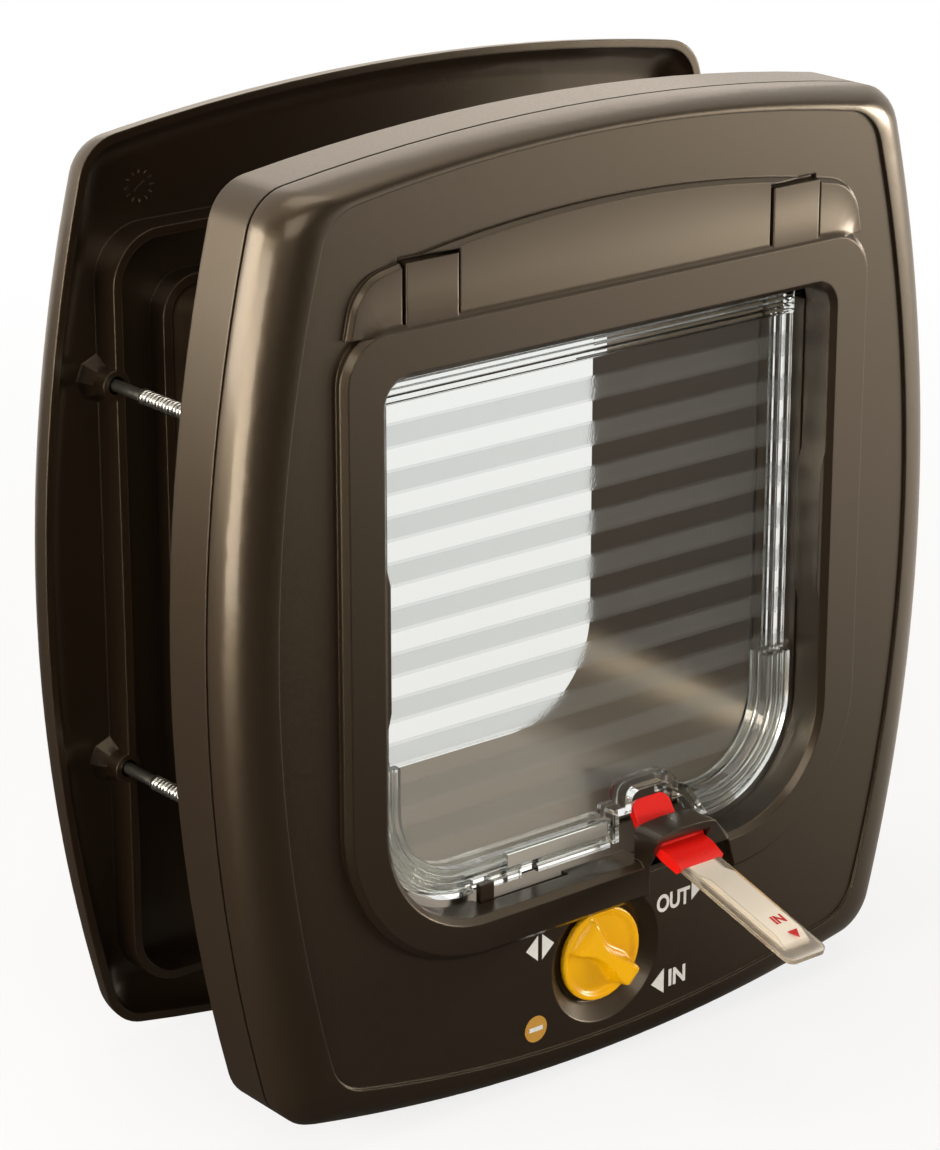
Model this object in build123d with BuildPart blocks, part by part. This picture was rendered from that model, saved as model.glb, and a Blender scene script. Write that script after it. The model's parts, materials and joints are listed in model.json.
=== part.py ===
from build123d import *
import math
import os

# Cat flap for a house door: an indoor unit with a swinging clear flap, a four-way
# lock and a passage indicator, a tunnel through the door, and an outdoor frame.
# Millimetres. X is to the right seen from indoors, Y runs outdoors through the
# door, Z is up. The origin is mid-width on the door's indoor face, a little above
# the middle of the frames.

# Fits
wall = 2.5              # plain moulded wall
fit_gap = 0.3           # between mouldings that stand or slide beside each other
snug_gap = 0.05         # around a piece held in its seat
running_gap = 0.06      # radial, around pivots

# Outline of both frames, with bowed sides and ends
frame_half_width = 113.5
frame_half_height = 125.0
frame_middle_z = -3.5
side_bow = 16.0
top_bow = 8.0
bottom_bow = 10.0
frame_corner = 12.5

# Depths along Y
front_depth = 27.0      # panel in front of the door
seam_depth = 14.5       # joint of cover and housing in front of the door
seam_gap = 0.8
seam_tongue = 3.0       # housing's tongue inside the cover's skirt
tongue_wall = 1.2
door_thickness = 53.0
rear_depth = 11.0       # outdoor face behind the door

# Rounded rim from the outer wall to the flat panel
rim_side = 10.8         # width of the slope at the sides
rim_top = 3.2           # at the top
rim_bottom = 8.2        # and at the bottom
rim_drop = 7.0          # depth of the slope
rim_round = 0.3         # share of the slope's width taken up at rim_round of its depth
rim_step = 0.8          # small step down from the rim to the panel

# Panel beside, above and below the opening, and the raised ring round the opening
panel_side = 42.5
panel_above = 53.5
panel_below = 54.0
opening_top_corner = 6.0
opening_bottom_corner = 30.0
ring_width = 13.2
ring_bottom_width = 10.5
ring_height = 3.0
ring_edge = 1.5
lip_depth = 10.0        # lip of the opening, measured back from the ring's face
pad_inset = 1.2         # shallow pads on the two sides of the opening
pad_below = 50.0        # from the opening's top to a pad
pad_length = 32.0
pad_ramp = 5.0

# Relief strip above the ring, with two tabs of the ring let into it
strip_height = 2.0
strip_inset = 2.2       # strip's ends inside the ring's sides
strip_lean = 3.0        # lean of the ends
strip_end_rise = 11.8   # ends above the ring
strip_rise = 20.3       # crown above the ring
strip_corner = 12.0
tab_inset = 13.3        # middle of a tab inside the opening's side
tab_width = 15.3
tab_rise = 14.5
tab_height = 2.5
tab_groove = 0.9

# Passage through the housing, the tunnel and the outdoor frame
passage_narrow = 0.4    # passage inside the opening's sides
passage_rise = 3.5      # above the opening
passage_drop = 1.5      # and below it
passage_top_corner = 6.0
passage_bottom_corner = 30.0
tube_wall = 2.2
tunnel_inset = 0.7
tunnel_seat = 3.0       # depth of the rebate that takes the tunnel's front end
tunnel_past = 9.0       # the tunnel runs this far past the door's outdoor face
seat_wall = 4.0         # wall round the rebate
seat_depth = 6.0

# Flap
hinge_drop = 3.5        # hinge line below the opening's top
hinge_depth = 16.5      # and in front of the door
flap_side_gap = 3.4     # flap inside the opening's sides
flap_foot_gap = 3.1     # and above its bottom
flap_thickness = 2.5
flap_corner = 27.0
flap_top_corner = 1.0
bar_above = 3.6         # top bar above and below the hinge line
bar_below = 5.5
bar_thickness = 5.6
bar_round = 1.5
border_rib = 1.2
border_pitch = 3.0
border_gap = 1.0        # ribs end above the seal
stub_radius = 2.4
stub_length = 7.9

# Seal clipped round the lower edge of the flap
seal_edge = 1.2         # seal outside the flap's edge
seal_width = 8.0
seal_thickness = 7.4
seal_rise = 38.4        # seal's ends above the flap's bottom
groove_count = 3
groove_width = 0.8
groove_depth = 0.6
groove_pitch = 1.9

# Magnetic catch: a strip in the seal and a magnet under the sill
strip_magnet_length = 33.0
strip_magnet_height = 3.4
strip_magnet_thickness = 1.2
strip_magnet_x = -10.5
strip_magnet_rise = 4.3 # above the flap's bottom
magnet_x = -0.5
magnet_length = 14.0
magnet_width = 6.0
magnet_height = 4.0
magnet_wall = 1.2

# Hinge saddles and their caps
saddle_length = 5.0
saddle_wall = 1.5
saddle_half_height = 5.5
saddle_front = 22.0     # in front of the door
saddle_back = 11.0

# Selector knob in its dish
knob_rise = 30.0        # above the frame's bottom
knob_radius = 12.8
knob_thickness = 1.9
knob_rim = 1.2
knob_hollow = 0.8
dish_radius = 18.0
dish_floor_radius = 13.7
dish_depth = 3.5
hub_radius = 3.5
stem_radius = 2.4
grip_stations = (       # along the diagonal, width at the face and on top, height
    (-10.6, 11.0, 9.0, 0.8),
    (-3.0, 7.4, 4.4, 2.6),
    (4.0, 7.0, 3.8, 4.9),
    (8.6, 8.2, 5.6, 6.2),
    (10.4, 6.6, 4.4, 5.0),
)

# Pinion and rack
gear_module = 1.0
pinion_teeth = 10
pressure_angle = 25.0
tooth_addendum = 0.8
tooth_dedendum = 1.1
backlash = 0.25
flank_points = 4
pinion_width = 5.5
selector_range = 270.0
selector_steps = 3
rack_first_tooth = -9   # counted from the knob's axis at rest
rack_last_tooth = 1
rack_end = 7.5

# Lock bar with its two stops
stop_width = 4.4
stop_thickness = 1.7
stop_rest_x = -35.5
stop_reach = 1.5        # stops above the flap's bottom
stop_clear = 0.6        # between a stop and the seal's face
slot_clear = 0.5        # beside a stop in its slots and notches
notch_clear = 0.7       # over a stop in its notch
fork_gap = 1.3          # fork below the sill
fork_height = 3.0
bar_height = 4.3

# Guide over the lock bar, screwed to the housing's back wall
guide_length = 17.0
guide_thickness = 2.0
guide_skirt = 6.0
guide_flange = 6.0
guide_screw_x = 3.0     # screw beyond each end of the guide
guide_screw_drop = 3.3

# Passage indicator under its hood
hood_x = 20.4
hood_rise = 8.5         # above the opening's bottom
hood_half = 10.3
hood_crown = 0.9        # bow of its top
hood_corner = 2.0
hood_brow = 1.2         # upright front edge of its roof, above the slope
hood_front = 35.0       # hood's front and back in front of the door
hood_back = 26.0
hood_wall = 1.8
hood_foot = 9.5         # left leg below the opening's bottom
hood_foot_reach = 8.5   # right foot, along the ring
hood_slot_half = 8.3
hood_slot_drop = 4.5    # slot below the opening's bottom
ring_cut_drop = 1.0     # ring cut away from here down, in front of the hood
ring_cut_lean = 3.5
pivot_depth = 30.5
pivot_drop = 4.8        # below the hood's top
pivot_radius = 1.0
pivot_half_length = 9.8
lever_tilt = 15.5
lever_half_width = 7.4
lever_half_thickness = 1.1
lever_hub_radius = 2.0
lever_hub_half = 7.9
block_start = -1.0      # red block, along and across the blade
block_front = 10.2
block_top_front = 0.4
block_crest = 5.6
block_crest_height = 1.5
block_bottom = -2.0
block_bevel = 0.9
tongue_start = -7.8
tongue_slope = 56.0
tongue_length = 7.6
tongue_half_width = 6.2
tongue_corner = 3.0
blade_half_width = 6.5
blade_bottom = -1.4
blade_thickness = 1.2
blade_root = 7.5
blade_end = 52.0
blade_corner = 2.4
pillow_half_width = 4.4
pillow_height = 1.5
pillow_start = 14.0
pillow_end = 47.5
pillow_ramp = 4.0
arch_rise = 6.4         # cut-out in the flap for the tongue, above the hood
arch_corner = 3.0
arch_gap = 0.8
arch_rib = 2.0
arch_reach = 2.0        # rib of the cut-out in front of the border ribs

# Screws
clamp_middle_z = 1.8
clamp_spacing = 101.0
clamp_shank_radius = 1.5
clamp_thread_radius = 2.1
clamp_thread_start = 41.0
clamp_engagement = 12.0
clamp_point = 3.0
clamp_head_radius = 4.0
clamp_head_height = 2.4
clamp_head_seat = 3.0
clamp_boss_radius = 4.2
clamp_boss_depth = 14.0
cover_screw_side = 27.5 # from the frame's sides and ends
cover_screw_end = 23.0
cover_screw_radius = 1.5
cover_screw_length = 12.0
cover_head_radius = 2.8
cover_head_height = 2.0
cover_boss_radius = 4.0
cover_post_radius = 5.0
cover_seat = 4.0        # depth of the screw's seat from the housing's back
small_screw_radius = 1.2
small_head_radius = 2.5
small_head_height = 1.6
selector_screw_length = 6.0
recess_width = 0.22     # cross recess, as shares of the head's radius and height
recess_length = 1.25
recess_depth = 0.6

# Outdoor frame
rear_ring_height = 1.0
rear_stations = (       # outer wall: share of the depth, draw-in, and draw-in of the tray
    (0.0, 0.0, 2.0),
    (0.45, 0.7, 2.9),
    (0.82, 2.6, 5.8),
    (1.0, 7.0, 10.0),
)
collar_side = 20.0      # collar outside the opening
collar_above = 22.0
collar_below = 36.5
collar_corner = 14.0
collar_wall = 2.4
sleeve_wall = 2.6
sleeve_height = 6.0
rear_boss_radius = 3.8
rear_boss_hole = 2.3
rear_boss_flare = 2.4
flare_sides = 8

# Values that follow from the sizes above
frame_top = frame_middle_z + frame_half_height
frame_bottom = frame_middle_z - frame_half_height
opening_half_width = frame_half_width - panel_side
opening_top = frame_top - panel_above
opening_bottom = frame_bottom + panel_below
passage_half_width = opening_half_width - passage_narrow
passage_top = opening_top + passage_rise
passage_bottom = opening_bottom - passage_drop
hinge_z = opening_top - hinge_drop
flap_half_width = opening_half_width - flap_side_gap
flap_bottom = opening_bottom + flap_foot_gap
seal_top = flap_bottom + seal_rise
strip_magnet_z = flap_bottom + strip_magnet_rise
knob_z = frame_bottom + knob_rise
hood_top = opening_bottom + hood_rise
hood_foot_z = opening_bottom - hood_foot
pivot_z = hood_top - pivot_drop
stop_top = flap_bottom + stop_reach
panel_y = -front_depth
panel_back_y = panel_y + wall
ring_y = panel_y - ring_height
seam_y = -seam_depth
skirt_y = panel_y + rim_drop
lip_y = ring_y + lip_depth
tube_y = lip_y + fit_gap
rear_y = door_thickness + rear_depth
floor_y = rear_y - wall
tunnel_y = door_thickness + tunnel_past
hinge_y = -hinge_depth
plate_front_y = hinge_y - flap_thickness / 2
plate_back_y = hinge_y + flap_thickness / 2
ring_half_width = opening_half_width + ring_width
ring_top = opening_top + ring_width
ring_bottom = opening_bottom - ring_bottom_width
strip_half_width = ring_half_width - strip_inset
strip_end_half = strip_half_width - strip_lean
strip_end_top = ring_top + strip_end_rise
strip_crown = ring_top + strip_rise
tab_half_spacing = opening_half_width - tab_inset
pad_top = opening_top - pad_below
pad_bottom = pad_top - pad_length
lip_half_width = opening_half_width + tube_wall
saddle_x = lip_half_width + fit_gap
bore_radius = stub_radius + running_gap
tunnel_grow = tube_wall - tunnel_inset
sleeve_grow = tunnel_grow + fit_gap
dish_y = panel_y + dish_depth
bowl_y = dish_y + tube_wall
knob_back_y = dish_y - fit_gap
knob_front_y = knob_back_y - knob_thickness
knob_face_y = knob_front_y + knob_hollow
pinion_front_y = bowl_y + fit_gap
pinion_y = pinion_front_y + pinion_width
pitch_radius = gear_module * pinion_teeth / 2
tooth_pitch = math.pi * gear_module
rack_z = knob_z + pitch_radius
rack_root_z = rack_z + tooth_dedendum
bar_top_z = rack_root_z + bar_height
bar_travel = pitch_radius * math.radians(selector_range)
bar_step = bar_travel / selector_steps
seal_half_width = flap_half_width + seal_edge
seal_bottom = flap_bottom - seal_edge
seal_corner = flap_corner + seal_edge
seal_front_y = hinge_y - seal_thickness / 2
seal_back_y = hinge_y + seal_thickness / 2
front_stop_y = seal_front_y - stop_clear
rear_stop_y = seal_back_y + stop_clear
stop_half = stop_width / 2
slot_half = stop_half + slot_clear
slot_left = stop_rest_x - slot_half
slot_right = stop_rest_x + bar_travel + slot_half
sill_z = passage_bottom - tube_wall
fork_top = sill_z - fork_gap
guide_left = slot_right + slot_clear
guide_right = guide_left + guide_length
guide_z = bar_top_z + fit_gap
cover_post_y = -cover_seat - wall
collar_half_width = opening_half_width + collar_side
collar_top = opening_top + collar_above
collar_bottom = opening_bottom - collar_below
clamp_x = collar_half_width
cover_screw_x = frame_half_width - cover_screw_side
cover_screw_z = frame_half_height - cover_screw_end
clamp_points = [
    (x, clamp_middle_z + z)
    for x in (-clamp_x, clamp_x)
    for z in (-clamp_spacing / 2, clamp_spacing / 2)
]
cover_points = [
    (x, frame_middle_z + z)
    for x in (-cover_screw_x, cover_screw_x)
    for z in (-cover_screw_z, cover_screw_z)
]
guide_points = [
    (x, guide_z - guide_screw_drop) for x in (guide_left - guide_screw_x, guide_right + guide_screw_x)
]
knob_axis = Axis((0, 0, knob_z), (0, 1, 0))


def facing(y):
    """Upright plane at depth y that faces the room."""
    return Plane.XZ.offset(-y)


def bowed_outline(y, side=0.0, top=0.0, bottom=0.0, corner=frame_corner):
    """Outline of the frames at depth y, drawn in at its sides, top and bottom."""
    half_width = frame_half_width - side
    crown_z = frame_top - top
    foot_z = frame_bottom + bottom
    corner_x = half_width - side_bow
    upper_z = crown_z - top_bow
    lower_z = foot_z + bottom_bow
    with BuildSketch(facing(y)) as outline:
        with BuildLine():
            ThreePointArc((corner_x, lower_z), (half_width, frame_middle_z), (corner_x, upper_z))
            ThreePointArc((corner_x, upper_z), (0, crown_z), (-corner_x, upper_z))
            ThreePointArc((-corner_x, upper_z), (-half_width, frame_middle_z), (-corner_x, lower_z))
            ThreePointArc((-corner_x, lower_z), (0, foot_z), (corner_x, lower_z))
        make_face()
        fillet(outline.vertices(), radius=corner)
    return outline.sketch


def even_outline(y, inset):
    """Outline of the frames at depth y, drawn in evenly, with its corners to match."""
    return bowed_outline(y, inset, inset, inset, frame_corner - inset)


def rim_outline(y, share, extra=0.0):
    """Section of the front rim at depth y, at a share of its slope."""
    return bowed_outline(
        y, rim_side * share + extra, rim_top * share + extra, rim_bottom * share + extra
    )


def arched_outline(y, half_width, top, bottom, top_corner, bottom_corner):
    """Rectangle at depth y with one radius at its top corners and one at the bottom."""
    with BuildSketch(facing(y)) as outline:
        with Locations((0, (top + bottom) / 2)):
            Rectangle(2 * half_width, top - bottom)
        fillet(outline.vertices().group_by(Axis.Y)[-1], radius=top_corner)
        fillet(outline.vertices().group_by(Axis.Y)[0], radius=bottom_corner)
    return outline.sketch


def passage_outline(y, grow=0.0):
    """Section of the passage at depth y, grown all round."""
    return arched_outline(
        y,
        passage_half_width + grow,
        passage_top + grow,
        passage_bottom - grow,
        passage_top_corner + grow,
        passage_bottom_corner + grow,
    )


def opening_outline(y, grow=0.0):
    """Section of the cover's opening at depth y, grown all round."""
    return arched_outline(
        y,
        opening_half_width + grow,
        opening_top + grow,
        opening_bottom - grow,
        opening_top_corner + grow,
        opening_bottom_corner + grow,
    )


def ring_outline(y):
    """Outer edge of the raised ring at depth y."""
    return arched_outline(
        y,
        ring_half_width,
        ring_top,
        ring_bottom,
        opening_top_corner + ring_width / 2,
        opening_bottom_corner + ring_width,
    )


def flap_outline(y, grow=0.0):
    """Edge of the flap's plate at depth y, grown all round."""
    return arched_outline(
        y,
        flap_half_width + grow,
        hinge_z,
        flap_bottom - grow,
        flap_top_corner,
        flap_corner + grow,
    )


def seal_band(y, inset, width):
    """Band along the seal's outer edge at depth y, drawn in by an inset."""
    inner = inset + width
    height = hinge_z - seal_bottom
    with BuildSketch(facing(y)) as band:
        with Locations((0, (hinge_z + seal_bottom) / 2)):
            RectangleRounded(2 * (seal_half_width - inset), height - 2 * inset, seal_corner - inset)
            RectangleRounded(
                2 * (seal_half_width - inner),
                height - 2 * inner,
                seal_corner - inner,
                mode=Mode.SUBTRACT,
            )
    return band.sketch


def arch_outline(y, gap):
    """Cut-out of the flap at depth y round the hood and the tongue, with a gap."""
    left = hood_x - hood_half - gap
    right = hood_x + hood_half + gap
    shoulder_z = hood_top + hood_crown + gap
    notch_half = tongue_half_width + gap
    notch_z = hood_top + arch_rise + gap
    with BuildSketch(facing(y)) as outline:
        with BuildLine():
            Polyline(
                (left, hood_foot_z),
                (left, shoulder_z),
                (hood_x - notch_half, shoulder_z),
                (hood_x - notch_half, notch_z),
                (hood_x + notch_half, notch_z),
                (hood_x + notch_half, shoulder_z),
                (right, shoulder_z),
                (right + hood_foot_reach, opening_bottom),
                (right + hood_foot_reach, hood_foot_z),
                close=True,
            )
        make_face()
        fillet(outline.vertices().group_by(Axis.Y)[-1], radius=arch_corner)
    return outline.sketch


def hood_outline(y):
    """Front view of the indicator's hood at depth y."""
    left = hood_x - hood_half
    right = hood_x + hood_half
    with BuildSketch(facing(y)) as outline:
        with BuildLine():
            ThreePointArc((left, hood_top), (hood_x, hood_top + hood_crown), (right, hood_top))
            Polyline((right, hood_top), (right, hood_foot_z), (left, hood_foot_z), (left, hood_top))
        make_face()
        fillet(outline.vertices().group_by(Axis.Y)[-1], radius=hood_corner)
    return outline.sketch


def flare_outline(y, x, z, radius):
    """Many-sided section at depth y of the flared foot of a boss."""
    with BuildSketch(facing(y)) as outline:
        with Locations((x, z)):
            RegularPolygon(radius, flare_sides)
    return outline.sketch


def block(x_limits, y_limits, z_limits, mode=Mode.ADD):
    """Box between limits in the current part."""
    middle = [sum(limits) / 2 for limits in (x_limits, y_limits, z_limits)]
    size = [abs(limits[1] - limits[0]) for limits in (x_limits, y_limits, z_limits)]
    with Locations(tuple(middle)):
        Box(*size, mode=mode)


def posts(points, radius, y_back, y_front, mode=Mode.ADD):
    """Round posts or holes along Y at points (x, z) in the current part."""
    middle = (y_back + y_front) / 2
    with Locations(*[(x, middle, z) for x, z in points]):
        Cylinder(radius, y_back - y_front, rotation=(90, 0, 0), mode=mode)


def rod(x_limits, y, z, radius, mode=Mode.ADD):
    """Round rod or hole along X in the current part."""
    with Locations((sum(x_limits) / 2, y, z)):
        Cylinder(radius, abs(x_limits[1] - x_limits[0]), rotation=(0, 90, 0), mode=mode)


def cross_recess(points, radius, y_face, height):
    """Cross recess in screw heads that face +Y for a positive height, and -Y for a negative one."""
    floor = y_face - height * recess_depth
    half_length = radius * recess_length / 2
    half_width = radius * recess_width
    for x, z in points:
        for across, up in ((half_length, half_width), (half_width, half_length)):
            block(
                (x - across, x + across), (floor, y_face), (z - up, z + up), mode=Mode.SUBTRACT
            )


def lever_side(across=0.0):
    """Side plane of the indicator, its X axis along the blade and its Y axis up."""
    tilt = math.radians(lever_tilt)
    forward = (0, -math.cos(tilt), -math.sin(tilt))
    return Plane(origin=(hood_x + across, -pivot_depth, pivot_z), x_dir=forward, z_dir=(-1, 0, 0))


def lever_top(height):
    """Plane along the blade at a height over the pivot; its Y axis points to the rear."""
    tilt = math.radians(lever_tilt)
    up = (0, -math.sin(tilt), math.cos(tilt))
    return Plane(origin=(hood_x, -pivot_depth, pivot_z), x_dir=(1, 0, 0), z_dir=up).offset(height)


def grip_section(along, base, top, height):
    """Section of the knob's grip at a distance along the knob's diagonal."""
    slant = math.sqrt(0.5)
    start = (along * slant, knob_face_y, knob_z - along * slant)
    plane = Plane(origin=start, x_dir=(slant, 0, slant), z_dir=(slant, 0, -slant))
    with BuildSketch(plane) as section:
        Polygon(
            (-base / 2, -knob_hollow),
            (base / 2, -knob_hollow),
            (top / 2, height),
            (-top / 2, height),
            align=None,
        )
    return section.sketch


def tooth_flank():
    """Points (x, y) of one involute flank of the pinion, the tooth along X."""
    base_radius = pitch_radius * math.cos(math.radians(pressure_angle))
    tip_radius = pitch_radius + tooth_addendum
    root_radius = pitch_radius - tooth_dedendum
    angle = math.radians(pressure_angle)
    half_angle = (tooth_pitch - 2 * backlash) / (4 * pitch_radius) + math.tan(angle) - angle
    points = [(root_radius * math.cos(half_angle), root_radius * math.sin(half_angle))]
    for index in range(flank_points):
        radius = base_radius + (tip_radius - base_radius) * index / (flank_points - 1)
        roll = math.acos(base_radius / radius)
        turn = half_angle - (math.tan(roll) - roll)
        points.append((radius * math.cos(turn), radius * math.sin(turn)))
    return points


# Front cover: panel, rounded rim, ring, relief strip, knob dish and hood in one moulding
with BuildPart() as front_cover:
    skirt_end = seam_y - seam_gap
    extrude(to_extrude=bowed_outline(skirt_end), amount=skirt_end - skirt_y)
    loft(
        sections=[
            rim_outline(skirt_y, 0),
            rim_outline(panel_y + rim_drop * rim_round, rim_round),
            rim_outline(panel_y - rim_step, 1),
        ]
    )
    extrude(to_extrude=rim_outline(panel_y, 1, rim_step), amount=rim_step, mode=Mode.SUBTRACT)
    extrude(
        to_extrude=even_outline(skirt_end, wall),
        amount=skirt_end - skirt_y,
        mode=Mode.SUBTRACT,
    )
    loft(
        sections=[even_outline(skirt_y, wall), rim_outline(panel_back_y, 1, wall / 2)],
        mode=Mode.SUBTRACT,
    )
    # Dish for the knob, with a shallow bowl behind the panel
    with BuildSketch(Plane.YZ) as bowl_section:
        with BuildLine():
            Polyline(
                (panel_y + rim_step, knob_z),
                (panel_y + rim_step, knob_z - dish_radius - tube_wall),
                (bowl_y, knob_z - dish_floor_radius - tube_wall / 2),
                (bowl_y, knob_z),
                close=True,
            )
        make_face()
    revolve(axis=knob_axis)
    with BuildSketch(Plane.YZ) as dish_section:
        with BuildLine():
            Polyline(
                (panel_y - rim_step, knob_z),
                (panel_y - rim_step, knob_z - dish_radius),
                (panel_y, knob_z - dish_radius),
                (dish_y, knob_z - dish_floor_radius),
                (dish_y, knob_z),
                close=True,
            )
        make_face()
    revolve(axis=knob_axis, mode=Mode.SUBTRACT)
    posts(
        [(0, knob_z)],
        hub_radius + running_gap,
        bowl_y + wall,
        dish_y - wall,
        mode=Mode.SUBTRACT,
    )
    # Raised ring with the lip of the opening behind it
    extrude(to_extrude=ring_outline(panel_back_y), amount=panel_back_y - ring_y)
    chamfer(front_cover.faces().sort_by(Axis.Y)[0].outer_wire().edges(), length=ring_edge)
    extrude(to_extrude=opening_outline(lip_y, tube_wall), amount=lip_y - panel_y)
    extrude(to_extrude=opening_outline(lip_y), amount=lip_y - ring_y, mode=Mode.SUBTRACT)
    chamfer(front_cover.faces().sort_by(Axis.Y)[0].inner_wires()[0].edges(), length=ring_edge)
    with BuildSketch(facing(lip_y)) as pads:
        for side in (-1, 1):
            with BuildLine():
                Polyline(
                    (side * (opening_half_width + snug_gap), pad_bottom - pad_ramp),
                    (side * (opening_half_width - pad_inset), pad_bottom),
                    (side * (opening_half_width - pad_inset), pad_top),
                    (side * (opening_half_width + snug_gap), pad_top + pad_ramp),
                    close=True,
                )
            make_face()
    extrude(amount=lip_y - ring_y - ring_edge)
    # Relief strip, grooved round the two tabs of the ring
    with BuildSketch(facing(panel_y)) as strip:
        with BuildLine():
            Polyline(
                (strip_end_half, strip_end_top),
                (strip_half_width, ring_top - ring_edge),
                (-strip_half_width, ring_top - ring_edge),
                (-strip_end_half, strip_end_top),
            )
            ThreePointArc(
                (-strip_end_half, strip_end_top), (0, strip_crown), (strip_end_half, strip_end_top)
            )
        make_face()
        fillet(strip.vertices().group_by(Axis.Y)[-1], radius=strip_corner)
    extrude(amount=strip_height)
    strip_y = panel_y - strip_height
    strip_faces = front_cover.faces().filter_by(Axis.Y)
    strip_faces = strip_faces.filter_by_position(Axis.Y, strip_y - snug_gap, strip_y + snug_gap)
    strip_arcs = strip_faces[0].outer_wire().edges().filter_by(GeomType.CIRCLE)
    chamfer(strip_arcs, length=strip_height / 2)
    groove_z = ring_top + tab_rise + tab_groove
    for side in (-1, 1):
        middle = side * tab_half_spacing
        groove_half = tab_width / 2 + tab_groove
        block(
            (middle - groove_half, middle + groove_half),
            (panel_y + rim_step, strip_y - ring_height),
            (ring_top, groove_z),
            mode=Mode.SUBTRACT,
        )
        block(
            (middle - tab_width / 2, middle + tab_width / 2),
            (panel_back_y, panel_y - tab_height),
            (ring_top - ring_edge, ring_top + tab_rise),
        )
    # Hood over the indicator, with a foot along the ring and the ring cut away in front
    extrude(to_extrude=hood_outline(-hood_back), amount=hood_front - hood_back)
    hood_right = hood_x + hood_half
    foot_end = hood_right + hood_foot_reach
    with BuildSketch(facing(-hood_back)) as hood_step:
        with BuildLine():
            Polyline(
                (hood_right - hood_wall, hood_top - hood_corner / 2),
                (hood_right, hood_top - hood_corner / 2),
                (foot_end, opening_bottom),
                (foot_end, opening_bottom - ring_cut_drop),
                (hood_right - hood_wall, opening_bottom - ring_cut_drop),
                close=True,
            )
        make_face()
    extrude(amount=hood_front - hood_back)
    with BuildSketch(Plane.XY.offset(hood_foot_z)) as foot_slope:
        with BuildLine():
            Polyline(
                (hood_right, -hood_front),
                (foot_end, ring_y),
                (foot_end, -hood_front),
                close=True,
            )
        make_face()
    extrude(amount=hood_top - hood_foot_z, mode=Mode.SUBTRACT)
    with BuildSketch(Plane.YZ.offset(hood_x)) as hood_slope:
        with BuildLine():
            Polyline(
                (-hood_front, hood_top - hood_brow),
                (ring_y, opening_bottom - ring_edge),
                (ring_y, hood_foot_z),
                (-hood_front, hood_foot_z),
                close=True,
            )
        make_face()
    extrude(amount=2 * hood_half, both=True, mode=Mode.SUBTRACT)
    slot_limits = (hood_x - hood_slot_half, hood_x + hood_slot_half)
    slot_front = -hood_front - wall
    block(
        slot_limits,
        (slot_front, lip_y + wall),
        (opening_bottom - hood_slot_drop, hood_top - hood_wall),
        mode=Mode.SUBTRACT,
    )
    ring_cut_z = opening_bottom - ring_cut_drop
    with BuildSketch(facing(panel_y)) as ring_cut:
        with BuildLine():
            Polyline(
                (slot_limits[0], ring_cut_z),
                (foot_end, ring_cut_z),
                (foot_end + ring_cut_lean, ring_bottom - wall),
                (slot_limits[0], ring_bottom - wall),
                close=True,
            )
        make_face()
    extrude(amount=panel_y - slot_front, mode=Mode.SUBTRACT)
    rod(
        (hood_x - pivot_half_length, foot_end),
        -pivot_depth,
        pivot_z,
        pivot_radius + snug_gap,
        mode=Mode.SUBTRACT,
    )
    # Notch in the lip for the front stop of the lock, and bosses for the cover's screws
    block(
        (slot_left, slot_right),
        (front_stop_y - stop_thickness - slot_clear, lip_y),
        (opening_bottom - tube_wall - wall, opening_bottom + wall / 2),
        mode=Mode.SUBTRACT,
    )
    posts(cover_points, cover_boss_radius, cover_post_y, panel_back_y - wall / 2)
    posts(
        cover_points,
        cover_screw_radius + snug_gap,
        cover_post_y,
        -cover_seat - cover_screw_length - wall / 2,
        mode=Mode.SUBTRACT,
    )

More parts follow.
